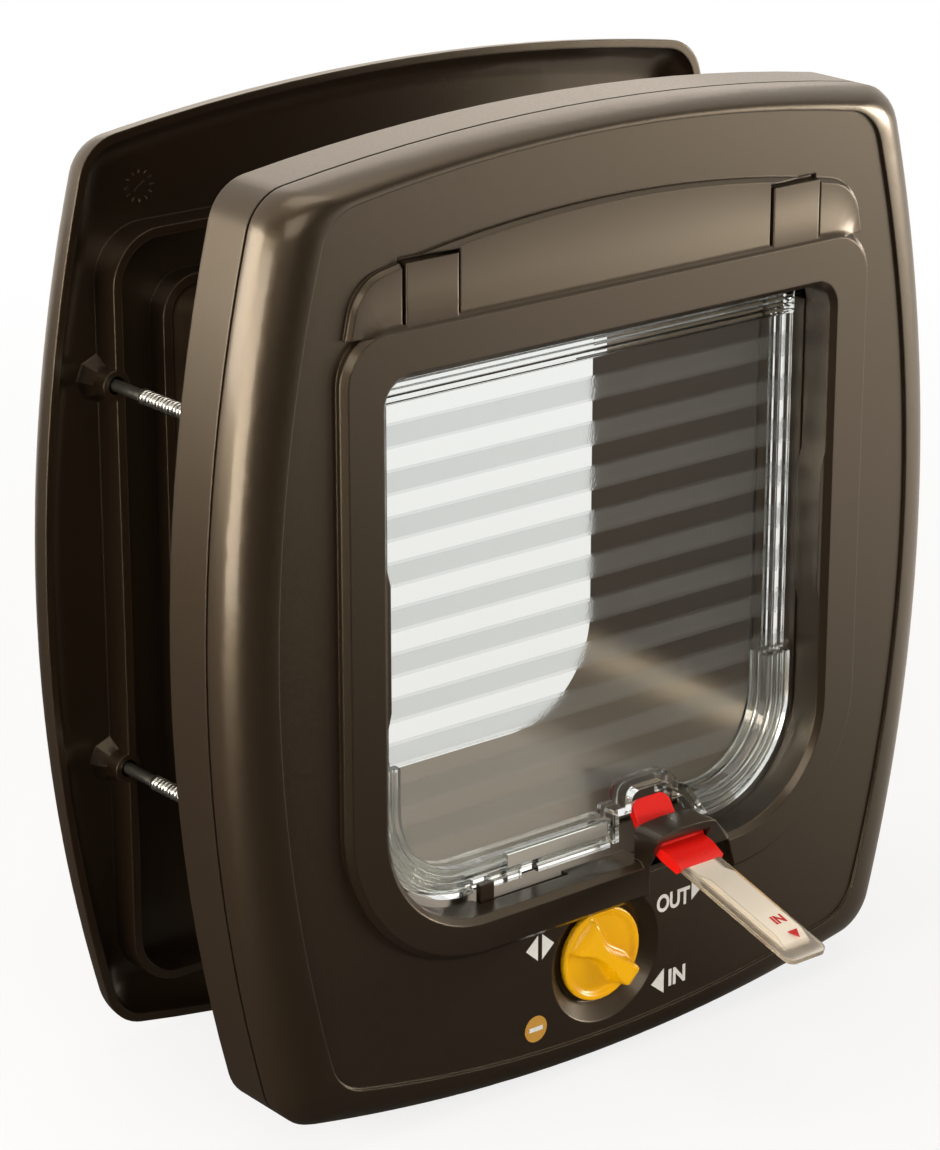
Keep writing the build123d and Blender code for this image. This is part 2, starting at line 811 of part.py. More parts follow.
# Front housing: side wall, back wall on the door, passage tube, hinge saddles and bosses
with BuildPart() as front_housing:
    extrude(to_extrude=bowed_outline(0), amount=seam_depth)
    extrude(
        to_extrude=even_outline(-wall, wall),
        amount=seam_depth - wall,
        mode=Mode.SUBTRACT,
    )
    tongue_in = wall + fit_gap
    tongue_root_y = seam_y + seam_tongue
    extrude(
        to_extrude=even_outline(tongue_root_y, wall / 2),
        amount=seam_tongue,
    )
    extrude(
        to_extrude=even_outline(seam_y, tongue_in),
        amount=seam_tongue,
    )
    tongue_in = tongue_in + tongue_wall
    extrude(
        to_extrude=even_outline(tongue_root_y, tongue_in),
        amount=2 * seam_tongue,
        mode=Mode.SUBTRACT,
    )
    extrude(to_extrude=passage_outline(0, tube_wall), amount=-tube_y)
    extrude(to_extrude=passage_outline(0, seat_wall), amount=seat_depth)
    for side in (-1, 1):
        tube_side = passage_half_width + tube_wall / 2
        saddle_z = (hinge_z - saddle_half_height, hinge_z + saddle_half_height)
        block((side * tube_side, side * (saddle_x + saddle_length)), (tube_y, -saddle_back), saddle_z)
        block((side * saddle_x, side * (saddle_x + saddle_length)), (-saddle_front, tube_y), saddle_z)
    extrude(to_extrude=passage_outline(0), amount=front_depth, mode=Mode.SUBTRACT)
    extrude(
        to_extrude=passage_outline(0, tunnel_grow + snug_gap),
        amount=tunnel_seat,
        mode=Mode.SUBTRACT,
    )
    for side in (-1, 1):
        bore_limits = (side * (passage_half_width - wall), side * (saddle_x + saddle_length - saddle_wall))
        rod(bore_limits, hinge_y, hinge_z, bore_radius, mode=Mode.SUBTRACT)
        block(
            bore_limits,
            (-saddle_front - wall, hinge_y),
            (hinge_z - bore_radius, hinge_z + bore_radius),
            mode=Mode.SUBTRACT,
        )
    # Sill: slot for the rear stop of the lock and a pocket for the magnet below
    pocket_half = magnet_length / 2 + magnet_wall
    pocket_depth = magnet_width / 2 + magnet_wall
    block(
        (magnet_x - pocket_half, magnet_x + pocket_half),
        (hinge_y - pocket_depth, hinge_y + pocket_depth),
        (sill_z - magnet_height, sill_z + tube_wall / 2),
    )
    block(
        (magnet_x - magnet_length / 2 - snug_gap, magnet_x + magnet_length / 2 + snug_gap),
        (hinge_y - magnet_width / 2 - snug_gap, hinge_y + magnet_width / 2 + snug_gap),
        (sill_z - magnet_height, sill_z),
        mode=Mode.SUBTRACT,
    )
    block(
        (slot_left, slot_right),
        (rear_stop_y - slot_clear, rear_stop_y + stop_thickness + slot_clear),
        (sill_z - wall, passage_bottom + wall),
        mode=Mode.SUBTRACT,
    )
    # Bosses for the clamp screws and posts for the cover's screws
    posts(clamp_points, clamp_boss_radius, 0, -clamp_boss_depth)
    posts(
        clamp_points,
        clamp_thread_radius + snug_gap,
        0,
        -clamp_engagement - snug_gap,
        mode=Mode.SUBTRACT,
    )
    posts(cover_points, cover_post_radius, 0, cover_post_y)
    posts(cover_points, cover_head_radius + fit_gap, 0, -cover_seat, mode=Mode.SUBTRACT)
    posts(cover_points, cover_screw_radius + snug_gap, 0, cover_post_y, mode=Mode.SUBTRACT)
    posts(guide_points, small_screw_radius + snug_gap, -fit_gap, -wall, mode=Mode.SUBTRACT)

# Tunnel liner through the door
with BuildPart() as tunnel_liner:
    tunnel_length = tunnel_y + tunnel_seat
    extrude(to_extrude=passage_outline(tunnel_y, tunnel_grow), amount=tunnel_length)
    extrude(to_extrude=passage_outline(tunnel_y, -tunnel_inset), amount=tunnel_length, mode=Mode.SUBTRACT)

# Outdoor frame: tray with a collar that meets the door and a sleeve round the tunnel
with BuildPart() as rear_frame:
    outer_wall = [
        even_outline(door_thickness + rear_depth * share, inset) for share, inset, _ in rear_stations
    ]
    loft(sections=outer_wall)
    extrude(to_extrude=ring_outline(rear_y), amount=-rear_ring_height)
    chamfer(rear_frame.faces().sort_by(Axis.Y)[-1].outer_wire().edges(), length=rear_ring_height / 2)
    tray_depth = floor_y - door_thickness
    tray = [
        even_outline(door_thickness + tray_depth * share, inset) for share, _, inset in rear_stations
    ]
    loft(sections=tray, mode=Mode.SUBTRACT)
    collar_height = floor_y - door_thickness
    extrude(
        to_extrude=arched_outline(
            floor_y, collar_half_width, collar_top, collar_bottom, collar_corner, collar_corner
        ),
        amount=collar_height,
    )
    inner_corner = collar_corner - collar_wall
    extrude(
        to_extrude=arched_outline(
            floor_y,
            collar_half_width - collar_wall,
            collar_top - collar_wall,
            collar_bottom + collar_wall,
            inner_corner,
            inner_corner,
        ),
        amount=collar_height,
        mode=Mode.SUBTRACT,
    )
    extrude(to_extrude=passage_outline(floor_y, sleeve_grow + sleeve_wall), amount=sleeve_height)
    passage_length = rear_ring_height + wall + sleeve_height
    extrude(
        to_extrude=passage_outline(rear_y + rear_ring_height, sleeve_grow),
        amount=passage_length,
        mode=Mode.SUBTRACT,
    )
    chamfer(rear_frame.faces().sort_by(Axis.Y)[-1].inner_wires()[0].edges(), length=rear_ring_height / 2)
    posts(clamp_points, rear_boss_radius, floor_y, door_thickness)
    flare_y = floor_y - collar_height / 2
    for x, z in clamp_points:
        loft(
            sections=[
                flare_outline(floor_y, x, z, rear_boss_radius + rear_boss_flare),
                flare_outline(flare_y, x, z, rear_boss_radius),
            ]
        )
    posts(clamp_points, rear_boss_hole, rear_y, door_thickness, mode=Mode.SUBTRACT)
    posts(clamp_points, clamp_head_radius + fit_gap, rear_y, rear_y - clamp_head_seat, mode=Mode.SUBTRACT)

# Four long self-tapping screws that clamp the two frames on the door
with BuildPart() as clamp_screws:
    head_y = rear_y - clamp_head_seat
    posts(clamp_points, clamp_head_radius, head_y + clamp_head_height, head_y)
    posts(clamp_points, clamp_shank_radius, head_y, clamp_thread_start)
    posts(clamp_points, clamp_thread_radius, clamp_thread_start, clamp_point - clamp_engagement)
    with Locations(*[(x, clamp_point / 2 - clamp_engagement, z) for x, z in clamp_points]):
        Cone(clamp_thread_radius, clamp_shank_radius / 2, clamp_point, rotation=(90, 0, 0))
    cross_recess(clamp_points, clamp_head_radius, head_y + clamp_head_height, clamp_head_height)

# Four short screws that hold the cover on the housing
with BuildPart() as cover_screws:
    posts(cover_points, cover_head_radius, cover_head_height - cover_seat, -cover_seat)
    posts(cover_points, cover_screw_radius, -cover_seat, -cover_seat - cover_screw_length)
    cross_recess(cover_points, cover_head_radius, cover_head_height - cover_seat, cover_head_height)

# Caps that close the hinge saddles
caps = []
for side in (-1, 1):
    with BuildPart() as hinge_cap:
        block(
            (side * (saddle_x + snug_gap), side * (saddle_x + saddle_length - saddle_wall - snug_gap)),
            (-saddle_front, hinge_y - bore_radius - snug_gap),
            (hinge_z - bore_radius + snug_gap, hinge_z + bore_radius - snug_gap),
        )
    caps.append(hinge_cap.part)

# Clear flap with its top bar, pivot stubs, raised borders and the arch over the hood
with BuildPart() as flap:
    extrude(to_extrude=flap_outline(plate_back_y), amount=flap_thickness)
    block(
        (-flap_half_width, flap_half_width),
        (hinge_y - bar_thickness / 2, hinge_y + bar_thickness / 2),
        (hinge_z - bar_below, hinge_z + bar_above),
    )
    fillet(flap.edges().filter_by(Axis.X).group_by(Axis.Z)[-1], radius=bar_round)
    rib_y = (plate_front_y - border_rib, plate_back_y + border_rib)
    for side in (-1, 1):
        for inset in (border_rib / 2, border_rib / 2 + border_pitch):
            middle = side * (flap_half_width - inset)
            block(
                (middle - border_rib / 2, middle + border_rib / 2),
                rib_y,
                (seal_top + border_gap, hinge_z - bar_below),
            )
        rod((side * flap_half_width, side * (flap_half_width + stub_length)), hinge_y, hinge_z, stub_radius)
    arch_y = (rib_y[0] - arch_reach, rib_y[1])
    arch_depth = arch_y[1] - arch_y[0]
    extrude(to_extrude=arch_outline(arch_y[1], arch_gap + arch_rib), amount=arch_depth)
    extrude(to_extrude=arch_outline(arch_y[1], arch_gap), amount=arch_depth, mode=Mode.SUBTRACT)
    block(
        (-frame_half_width, frame_half_width),
        arch_y,
        (frame_bottom, flap_bottom),
        mode=Mode.SUBTRACT,
    )

# Clear seal in two lengths, clipped over the flap's lower edge on either side of the
# arch and notched for the lock's stops
with BuildPart() as flap_seal:
    extrude(to_extrude=seal_band(seal_back_y, 0, seal_width), amount=seal_thickness)
    seal_limits = (seal_front_y, seal_back_y)
    block(
        (-frame_half_width, frame_half_width),
        seal_limits,
        (seal_top, frame_top),
        mode=Mode.SUBTRACT,
    )
    extrude(
        to_extrude=flap_outline(plate_back_y + snug_gap, snug_gap),
        amount=flap_thickness + 2 * snug_gap,
        mode=Mode.SUBTRACT,
    )
    extrude(
        to_extrude=arch_outline(seal_back_y, arch_gap + arch_rib + fit_gap),
        amount=seal_thickness,
        mode=Mode.SUBTRACT,
    )
    for step in range(1, groove_count + 1):
        for groove_y in (seal_front_y + groove_depth, seal_back_y):
            extrude(
                to_extrude=seal_band(groove_y, step * groove_pitch - groove_width / 2, groove_width),
                amount=groove_depth,
                mode=Mode.SUBTRACT,
            )
    strip_half = strip_magnet_length / 2 + snug_gap
    strip_z = strip_magnet_height / 2 + snug_gap
    block(
        (strip_magnet_x - strip_half, strip_magnet_x + strip_half),
        (seal_front_y, seal_front_y + strip_magnet_thickness + snug_gap),
        (strip_magnet_z - strip_z, strip_magnet_z + strip_z),
        mode=Mode.SUBTRACT,
    )
    notch_z = (seal_bottom - wall, stop_top + notch_clear)
    for step in (0, 2):
        notch_x = stop_rest_x + step * bar_step
        block(
            (notch_x - slot_half, notch_x + slot_half),
            (seal_front_y, plate_front_y - snug_gap),
            notch_z,
            mode=Mode.SUBTRACT,
        )
    block(
        (slot_left, stop_rest_x + bar_step + slot_half),
        (plate_back_y + snug_gap, seal_back_y),
        notch_z,
        mode=Mode.SUBTRACT,
    )
seal_lengths = flap_seal.part.solids().sort_by(Axis.X)

# Magnetic strip in the seal's front face
with BuildPart() as flap_magnet:
    block(
        (strip_magnet_x - strip_magnet_length / 2, strip_magnet_x + strip_magnet_length / 2),
        (seal_front_y, seal_front_y + strip_magnet_thickness),
        (strip_magnet_z - strip_magnet_height / 2, strip_magnet_z + strip_magnet_height / 2),
    )

# Magnet in its pocket under the sill
with BuildPart() as sill_magnet:
    block(
        (magnet_x - magnet_length / 2, magnet_x + magnet_length / 2),
        (hinge_y - magnet_width / 2, hinge_y + magnet_width / 2),
        (sill_z - magnet_height, sill_z),
    )

# Selector knob: rimmed disc, diagonal grip, hub and stem
with BuildPart() as selector_knob:
    with BuildSketch(Plane.YZ) as knob_section:
        with BuildLine():
            Polyline(
                (knob_back_y, knob_z),
                (knob_back_y, knob_z - knob_radius),
                (knob_front_y, knob_z - knob_radius),
                (knob_front_y, knob_z - knob_radius + knob_rim),
                (knob_face_y, knob_z - knob_radius + 2 * knob_rim),
                (knob_face_y, knob_z),
                close=True,
            )
        make_face()
    revolve(axis=knob_axis)
    loft(sections=[grip_section(*station) for station in grip_stations])
    posts([(0, knob_z)], hub_radius, pinion_front_y - snug_gap, knob_back_y)
    posts([(0, knob_z)], stem_radius, pinion_y, knob_back_y)
    posts(
        [(0, knob_z)],
        small_screw_radius + snug_gap,
        pinion_y,
        pinion_y - selector_screw_length,
        mode=Mode.SUBTRACT,
    )

# Pinion on the knob's stem
with BuildPart() as selector_pinion:
    with BuildSketch(Plane.XZ.offset(-pinion_y)) as pinion_outline:
        with Locations((0, knob_z)):
            Circle(pitch_radius - tooth_dedendum)
            with PolarLocations(0, pinion_teeth, start_angle=90):
                flank = tooth_flank()
                Polygon((0, 0), *[(x, -y) for x, y in flank], *reversed(flank), align=None)
            Circle(stem_radius + snug_gap, mode=Mode.SUBTRACT)
    extrude(amount=pinion_width)

# Screw that holds the pinion on the stem
with BuildPart() as selector_screw:
    posts([(0, knob_z)], small_head_radius, pinion_y + small_head_height, pinion_y)
    posts([(0, knob_z)], small_screw_radius, pinion_y, pinion_y - selector_screw_length)
    cross_recess([(0, knob_z)], small_head_radius, pinion_y + small_head_height, small_head_height)

# Lock bar: rack over the pinion, and a fork with the front and rear stop
with BuildPart() as lock_bar:
    bar_left = stop_rest_x - stop_half
    with BuildSketch(Plane.XZ.offset(-pinion_y)) as rack:
        with Locations(((bar_left + rack_end) / 2, (rack_root_z + bar_top_z) / 2)):
            Rectangle(rack_end - bar_left, bar_height)
        tooth_half = (tooth_pitch - 2 * backlash) / 4
        lean = math.tan(math.radians(pressure_angle))
        tip_half = tooth_half - tooth_addendum * lean
        root_half = tooth_half + tooth_dedendum * lean
        teeth = range(rack_first_tooth, rack_last_tooth + 1)
        with Locations(*[((tooth + 0.5) * tooth_pitch, rack_z) for tooth in teeth]):
            Polygon(
                (-root_half, tooth_dedendum),
                (-tip_half, -tooth_addendum),
                (tip_half, -tooth_addendum),
                (root_half, tooth_dedendum),
                align=None,
            )
    extrude(amount=pinion_width)
    stop_limits = (bar_left, bar_left + stop_width)
    front_y = front_stop_y - stop_thickness
    back_y = rear_stop_y + stop_thickness
    block(stop_limits, (pinion_front_y, pinion_y), (rack_root_z, fork_top))
    block(stop_limits, (front_y, back_y), (fork_top - fork_height, fork_top))
    block(stop_limits, (front_y, front_stop_y), (fork_top - fork_height, stop_top))
    block(stop_limits, (rear_stop_y, back_y), (fork_top - fork_height, stop_top))

# Guide that keeps the lock bar on the pinion
with BuildPart() as lock_bar_guide:
    guide_limits = (guide_left, guide_right)
    shelf_z = (guide_z, guide_z + guide_thickness)
    skirt_y_limits = (pinion_y + fit_gap, pinion_y + fit_gap + guide_thickness)
    block(guide_limits, (pinion_front_y + fit_gap, -wall), shelf_z)
    block(guide_limits, skirt_y_limits, (guide_z - guide_skirt + guide_thickness, guide_z))
    block(
        (guide_left - guide_flange, guide_right + guide_flange),
        (-wall - guide_thickness, -wall),
        (guide_z - guide_flange, guide_z + guide_thickness),
    )
    posts(guide_points, small_screw_radius + snug_gap, -wall, -wall - guide_thickness, mode=Mode.SUBTRACT)

# Two screws of the guide
with BuildPart() as guide_screws:
    flange_y = -wall - guide_thickness
    posts(guide_points, small_head_radius, flange_y, flange_y - small_head_height)
    posts(guide_points, small_screw_radius, -2 * fit_gap, flange_y)
    cross_recess(guide_points, small_head_radius, flange_y - small_head_height, -small_head_height)

# Red lever of the indicator: block in front, hub on the pin, tongue behind
with BuildPart() as indicator_lever:
    with BuildSketch(lever_side()) as lever_profile:
        with BuildLine():
            Polyline(
                (block_start, -lever_half_thickness),
                (block_crest / 2, block_bottom),
                (block_front - block_bevel, block_bottom),
                (block_front, block_bottom + block_bevel),
                (block_front, block_top_front),
                (block_crest, block_crest_height),
                (block_start, lever_half_thickness),
                close=True,
            )
        make_face()
        with Locations((tongue_start / 2, 0)):
            Rectangle(-tongue_start, 2 * lever_half_thickness)
    extrude(amount=lever_half_width, both=True)
    with BuildSketch(lever_side()) as hub_profile:
        Circle(lever_hub_radius)
    extrude(amount=lever_hub_half, both=True)
    slope = math.radians(tongue_slope)
    tilt = math.radians(lever_tilt)
    tongue_plane = Plane(
        origin=(
            hood_x,
            -pivot_depth - tongue_start * math.cos(tilt),
            pivot_z - tongue_start * math.sin(tilt),
        ),
        x_dir=(1, 0, 0),
        z_dir=(0, -math.sin(slope), math.cos(slope)),
    )
    with BuildSketch(tongue_plane) as tongue:
        with Locations((0, (tongue_length - lever_half_thickness) / 2)):
            Rectangle(2 * tongue_half_width, tongue_length + lever_half_thickness)
        fillet(tongue.vertices().group_by(Axis.Y)[-1], radius=tongue_corner)
    extrude(amount=lever_half_thickness, both=True)
    with BuildSketch(lever_top(blade_bottom - snug_gap)) as blade_slot:
        with Locations((0, -(blade_root + block_front) / 2)):
            Rectangle(2 * (blade_half_width + snug_gap), block_front - blade_root + 2 * snug_gap)
    extrude(amount=blade_thickness + 2 * snug_gap, mode=Mode.SUBTRACT)
    rod(
        (hood_x - hood_slot_half, hood_x + hood_slot_half),
        -pivot_depth,
        pivot_z,
        pivot_radius + running_gap,
        mode=Mode.SUBTRACT,
    )

# Clear blade of the indicator with its raised middle
with BuildPart() as indicator_blade:
    with BuildSketch(lever_top(blade_bottom)) as blade:
        with Locations((0, -(blade_root + blade_end) / 2)):
            RectangleRounded(2 * blade_half_width, blade_end - blade_root, blade_corner)
    extrude(amount=blade_thickness)
    blade_top = blade_bottom + blade_thickness
    with BuildSketch(lever_side()) as pillow:
        with BuildLine():
            Polyline(
                (pillow_start, blade_bottom),
                (pillow_start, blade_top),
                (pillow_start + pillow_ramp, blade_top + pillow_height),
                (pillow_end - pillow_ramp, blade_top + pillow_height),
                (pillow_end, blade_top),
                (pillow_end, blade_bottom),
                close=True,
            )
        make_face()
    extrude(amount=pillow_half_width, both=True)

# Pin through the hood
with BuildPart() as indicator_pin:
    rod((hood_x - pivot_half_length, hood_x + pivot_half_length), -pivot_depth, pivot_z, pivot_radius)

pieces = {
    "front_cover": front_cover.part,
    "front_housing": front_housing.part,
    "tunnel_liner": tunnel_liner.part,
    "rear_frame": rear_frame.part,
    "clamp_screws": clamp_screws.part,
    "cover_screws": cover_screws.part,
    "hinge_cap_left": caps[0],
    "hinge_cap_right": caps[1],
    "flap": flap.part,
    "flap_seal_left": seal_lengths[0],
    "flap_seal_right": seal_lengths[1],
    "flap_magnet": flap_magnet.part,
    "sill_magnet": sill_magnet.part,
    "selector_knob": selector_knob.part,
    "selector_pinion": selector_pinion.part,
    "selector_screw": selector_screw.part,
    "lock_bar": lock_bar.part,
    "lock_bar_guide": lock_bar_guide.part,
    "guide_screws": guide_screws.part,
    "indicator_lever": indicator_lever.part,
    "indicator_blade": indicator_blade.part,
    "indicator_pin": indicator_pin.part,
}
os.makedirs("parts", exist_ok=True)
for name, piece in pieces.items():
    piece.label = name
    export_step(piece, f"parts/{name}.step")
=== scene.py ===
import json
import math

import bmesh
import bpy
from mathutils import Matrix, Vector


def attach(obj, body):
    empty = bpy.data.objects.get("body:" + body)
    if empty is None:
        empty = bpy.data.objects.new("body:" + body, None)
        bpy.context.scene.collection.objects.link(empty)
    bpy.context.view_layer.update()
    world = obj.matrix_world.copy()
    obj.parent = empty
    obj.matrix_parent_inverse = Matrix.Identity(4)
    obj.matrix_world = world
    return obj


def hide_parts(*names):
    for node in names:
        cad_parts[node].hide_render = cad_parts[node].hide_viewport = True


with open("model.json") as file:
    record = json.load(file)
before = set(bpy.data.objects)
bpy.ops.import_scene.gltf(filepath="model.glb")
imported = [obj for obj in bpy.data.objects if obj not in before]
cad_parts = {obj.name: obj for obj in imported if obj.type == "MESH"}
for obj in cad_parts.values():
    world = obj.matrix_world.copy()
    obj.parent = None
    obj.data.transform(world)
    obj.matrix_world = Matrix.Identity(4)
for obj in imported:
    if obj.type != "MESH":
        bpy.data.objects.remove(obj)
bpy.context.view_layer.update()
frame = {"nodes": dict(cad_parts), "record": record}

# Sizes in millimetres, as in the solids
MM = 0.001
PANEL_Y = -27.0
FLOOR_Z = -128.5
PRINT_HEIGHT = 0.06
THREAD_START_Y = 41.0
THREAD_END_Y = -9.0
CLAMP_WIDTH = 182.0
CLAMP_HEIGHT = 101.0
CLAMP_MIDDLE_Z = 1.8
THREAD_RADIUS = 2.05
THREAD_CORE = 1.45
THREAD_PITCH = 1.4
LEVER_PIVOT = (20.4, -30.5, -70.8)
LEVER_TILT = 15.5
PILLOW_TOP = 1.3
PILLOW_HALF = 4.4
PILLOW_END = 47.5
KNOB_CELL = 0.35
KNOB_ROUNDS = 12

# Frosted bands of the flap, counted down from the first one's upper edge
BAND_TOP = 53.3
BAND_PITCH = 11.6
BAND_HEIGHT = 5.8
BAND_COUNT = 10

# Flutes along the flap's top bar
BAR_BOTTOM = 58.6
BAR_FLUTE = 1.5

# Dial of raised ticks that the mould leaves in the outdoor frame's tray
DIAL_PLACE = (-77.0, 61.5, 98.5)
DIAL_RADIUS = 3.7
DIAL_TICK = 1.1
DIAL_HEIGHT = 0.36

# Printed marks: letters, arrows and the sign for closed
WORD_HEIGHT = 6.5
WORD_WEIGHT = 0.2
ARROW_WIDTH = 4.4
ARROW_HEIGHT = 7.0
CLOSED_PLACE = (-23.2, -112.1)

# Camera worked out from the outlines of the two frames in the picture
CAMERA_PLACE = (-577.5, -686.1, 314.75)
CAMERA_AIM = (0.5927, 0.7332, -0.3335)
CAMERA_LENS = 117.62
SENSOR = 36.0

# Stage in metres: the floor's reach, where its shadow ends, and the side on which its painted reflection is
# bright; on its left it is mirrored dim as painted shade
FLOOR_REACH = 6.0
SHADOW_NEAR = 0.25
SHADOW_FAR = 0.8
PAPER_WHITE = 0.8
PAINTED_REFLECTION_SIDE = (0.9, 0.3, 0)
PAINTED_REFLECTION_START = 0.03
PAINTED_REFLECTION_END = 0.27
PAINTED_SHADE_IN_REFLECTION = 0.06
LAMP_COLOUR = "#fff3e4"

body_of_node = {
    node: body for body, nodes in frame["record"]["behaviour"]["bodies"].items() for node in nodes
}
slot_of_node = {part["node"]: part["material_slot"] for part in frame["record"]["subparts"]}


def linear(code):
    """Linear RGBA of an sRGB hex colour."""
    parts = [int(code[i : i + 2], 16) / 255 for i in (1, 3, 5)]
    return tuple(c / 12.92 if c <= 0.04045 else ((c + 0.055) / 1.055) ** 2.4 for c in parts) + (1.0,)


def add(tree, kind, settings=None, inputs=None):
    """Adds a node, sets its properties, and gives its inputs a value or another node's output."""
    made = tree.nodes.new(kind)
    for name, value in (settings or {}).items():
        setattr(made, name, value)
    for name, value in (inputs or {}).items():
        if isinstance(value, bpy.types.NodeSocket):
            tree.links.new(value, made.inputs[name])
        else:
            made.inputs[name].default_value = value
    return made


def new_material(name):
    """An empty material with its output node, and its tree."""
    material = bpy.data.materials.new(name)
    material.use_nodes = True
    material.node_tree.nodes.clear()
    return material, material.node_tree


def per_mm(size):
    """Scale of a noise whose grains are this many millimetres across."""
    return 1 / (size * MM)


def show(tree, shader):
    """Ends a material's tree in its output."""
    add(tree, "ShaderNodeOutputMaterial", inputs={"Surface": shader.outputs[0]})


def moulded_plastic(name, low, high, roughness, shine, glow, skin, grain_mm, grain_depth, edge_mm):
    """Injection-moulded plastic: faint colour drift, fine grain in its gloss, soft edges, tight skin."""
    material, tree = new_material(name)
    place = add(tree, "ShaderNodeTexCoord").outputs["Object"]
    drift = add(tree, "ShaderNodeTexNoise", inputs={"Vector": place, "Scale": per_mm(45), "Detail": 3})
    grain = add(
        tree, "ShaderNodeTexNoise", inputs={"Vector": place, "Scale": per_mm(grain_mm), "Detail": 2}
    )
    colour = add(
        tree,
        "ShaderNodeMix",
        {"data_type": "RGBA"},
        {0: drift.outputs["Fac"], 6: linear(low), 7: linear(high)},
    )
    gloss = add(
        tree,
        "ShaderNodeMapRange",
        inputs={
            "Value": grain.outputs["Fac"],
            "From Min": 0.3,
            "From Max": 0.7,
            "To Min": roughness - 0.03,
            "To Max": roughness + 0.03,
        },
    )
    edges = add(tree, "ShaderNodeBevel", {"samples": 6}, {"Radius": edge_mm * MM})
    bump = add(
        tree,
        "ShaderNodeBump",
        inputs={
            "Height": grain.outputs["Fac"],
            "Strength": 0.1,
            "Distance": grain_depth * MM,
            "Normal": edges.outputs["Normal"],
        },
    )
    shader = add(
        tree,
        "ShaderNodeBsdfPrincipled",
        inputs={
            "Base Color": colour.outputs[2],
            "Roughness": gloss.outputs[0],
            "IOR": 1.53,
            "Specular IOR Level": shine,
            "Specular Tint": linear(glow),
            "Coat Weight": skin,
            "Coat Roughness": 0.12,
            "Normal": bump.outputs["Normal"],
        },
    )
    show(tree, shader)
    return material


def clear_plastic(name, tint, clarity, roughness, edge_mm):
    """Clear moulded polycarbonate: bright ridges, with the faint waviness of a thin moulding."""
    material, tree = new_material(name)
    place = add(tree, "ShaderNodeTexCoord").outputs["Object"]
    waves = add(tree, "ShaderNodeTexNoise", inputs={"Vector": place, "Scale": per_mm(9), "Detail": 1})
    gloss = add(
        tree,
        "ShaderNodeMapRange",
        inputs={"Value": waves.outputs["Fac"], "To Min": roughness, "To Max": roughness * 2},
    )
    edges = add(tree, "ShaderNodeBevel", {"samples": 4}, {"Radius": edge_mm * MM})
    bump = add(
        tree,
        "ShaderNodeBump",
        inputs={
            "Height": waves.outputs["Fac"],
            "Strength": 0.15,
            "Distance": 0.3 * MM,
            "Normal": edges.outputs["Normal"],
        },
    )
    shader = add(
        tree,
        "ShaderNodeBsdfPrincipled",
        inputs={
            "Base Color": linear(tint),
            "Roughness": gloss.outputs[0],
            "IOR": 1.58,
            "Transmission Weight": clarity,
            "Normal": bump.outputs["Normal"],
        },
    )
    show(tree, shader)
    return material


def frosted_flap():
    """Clear polycarbonate sheet with frosted bands across it, which scatter light as a pale haze."""
    material, tree = new_material("polycarbonate_frosted_bands")
    place = add(tree, "ShaderNodeTexCoord").outputs["Object"]
    height = add(tree, "ShaderNodeSeparateXYZ", inputs={"Vector": place}).outputs["Z"]
    below = add(
        tree, "ShaderNodeMath", {"operation": "SUBTRACT"}, {0: BAND_TOP * MM, 1: height}
    ).outputs[0]
    step = add(tree, "ShaderNodeMath", {"operation": "DIVIDE"}, {0: below, 1: BAND_PITCH * MM}).outputs[0]
    share = add(tree, "ShaderNodeMath", {"operation": "FRACT"}, {0: step}).outputs[0]
    inside = add(
        tree, "ShaderNodeMath", {"operation": "LESS_THAN"}, {0: share, 1: BAND_HEIGHT / BAND_PITCH}
    ).outputs[0]
    started = add(tree, "ShaderNodeMath", {"operation": "GREATER_THAN"}, {0: step, 1: 0.0}).outputs[0]
    ended = add(tree, "ShaderNodeMath", {"operation": "LESS_THAN"}, {0: step, 1: BAND_COUNT}).outputs[0]
    band = add(tree, "ShaderNodeMath", {"operation": "MULTIPLY"}, {0: inside, 1: started}).outputs[0]
    band = add(tree, "ShaderNodeMath", {"operation": "MULTIPLY"}, {0: band, 1: ended}).outputs[0]
    frost = add(
        tree, "ShaderNodeTexNoise", inputs={"Vector": place, "Scale": per_mm(0.6), "Detail": 2}
    )
    gloss = add(
        tree, "ShaderNodeMapRange", inputs={"Value": band, "To Min": 0.01, "To Max": 0.1}
    )
    clear = add(
        tree, "ShaderNodeMapRange", inputs={"Value": band, "To Min": 0.998, "To Max": 0.94}
    )
    tint = add(
        tree,
        "ShaderNodeMix",
        {"data_type": "RGBA"},
        {0: band, 6: linear("#f1f3f0"), 7: linear("#d6d9d7")},
    )
    flute = add(
        tree, "ShaderNodeMath", {"operation": "PINGPONG"}, {0: height, 1: BAR_FLUTE / 2 * MM}
    ).outputs[0]
    on_bar = add(
        tree, "ShaderNodeMath", {"operation": "GREATER_THAN"}, {0: height, 1: BAR_BOTTOM * MM}
    ).outputs[0]
    edges = add(tree, "ShaderNodeBevel", {"samples": 4}, {"Radius": 0.4 * MM})
    flutes = add(
        tree,
        "ShaderNodeBump",
        inputs={"Height": flute, "Strength": on_bar, "Distance": 0.6, "Normal": edges.outputs["Normal"]},
    )
    bump = add(
        tree,
        "ShaderNodeBump",
        inputs={
            "Height": frost.outputs["Fac"],
            "Strength": band,
            "Distance": 0.02 * MM,
            "Normal": flutes.outputs["Normal"],
        },
    )
    shader = add(
        tree,
        "ShaderNodeBsdfPrincipled",
        inputs={
            "Base Color": tint.outputs[2],
            "Roughness": gloss.outputs[0],
            "IOR": 1.2,
            "Transmission Weight": clear.outputs[0],
            "Normal": bump.outputs["Normal"],
        },
    )
    show(tree, shader)
    return material


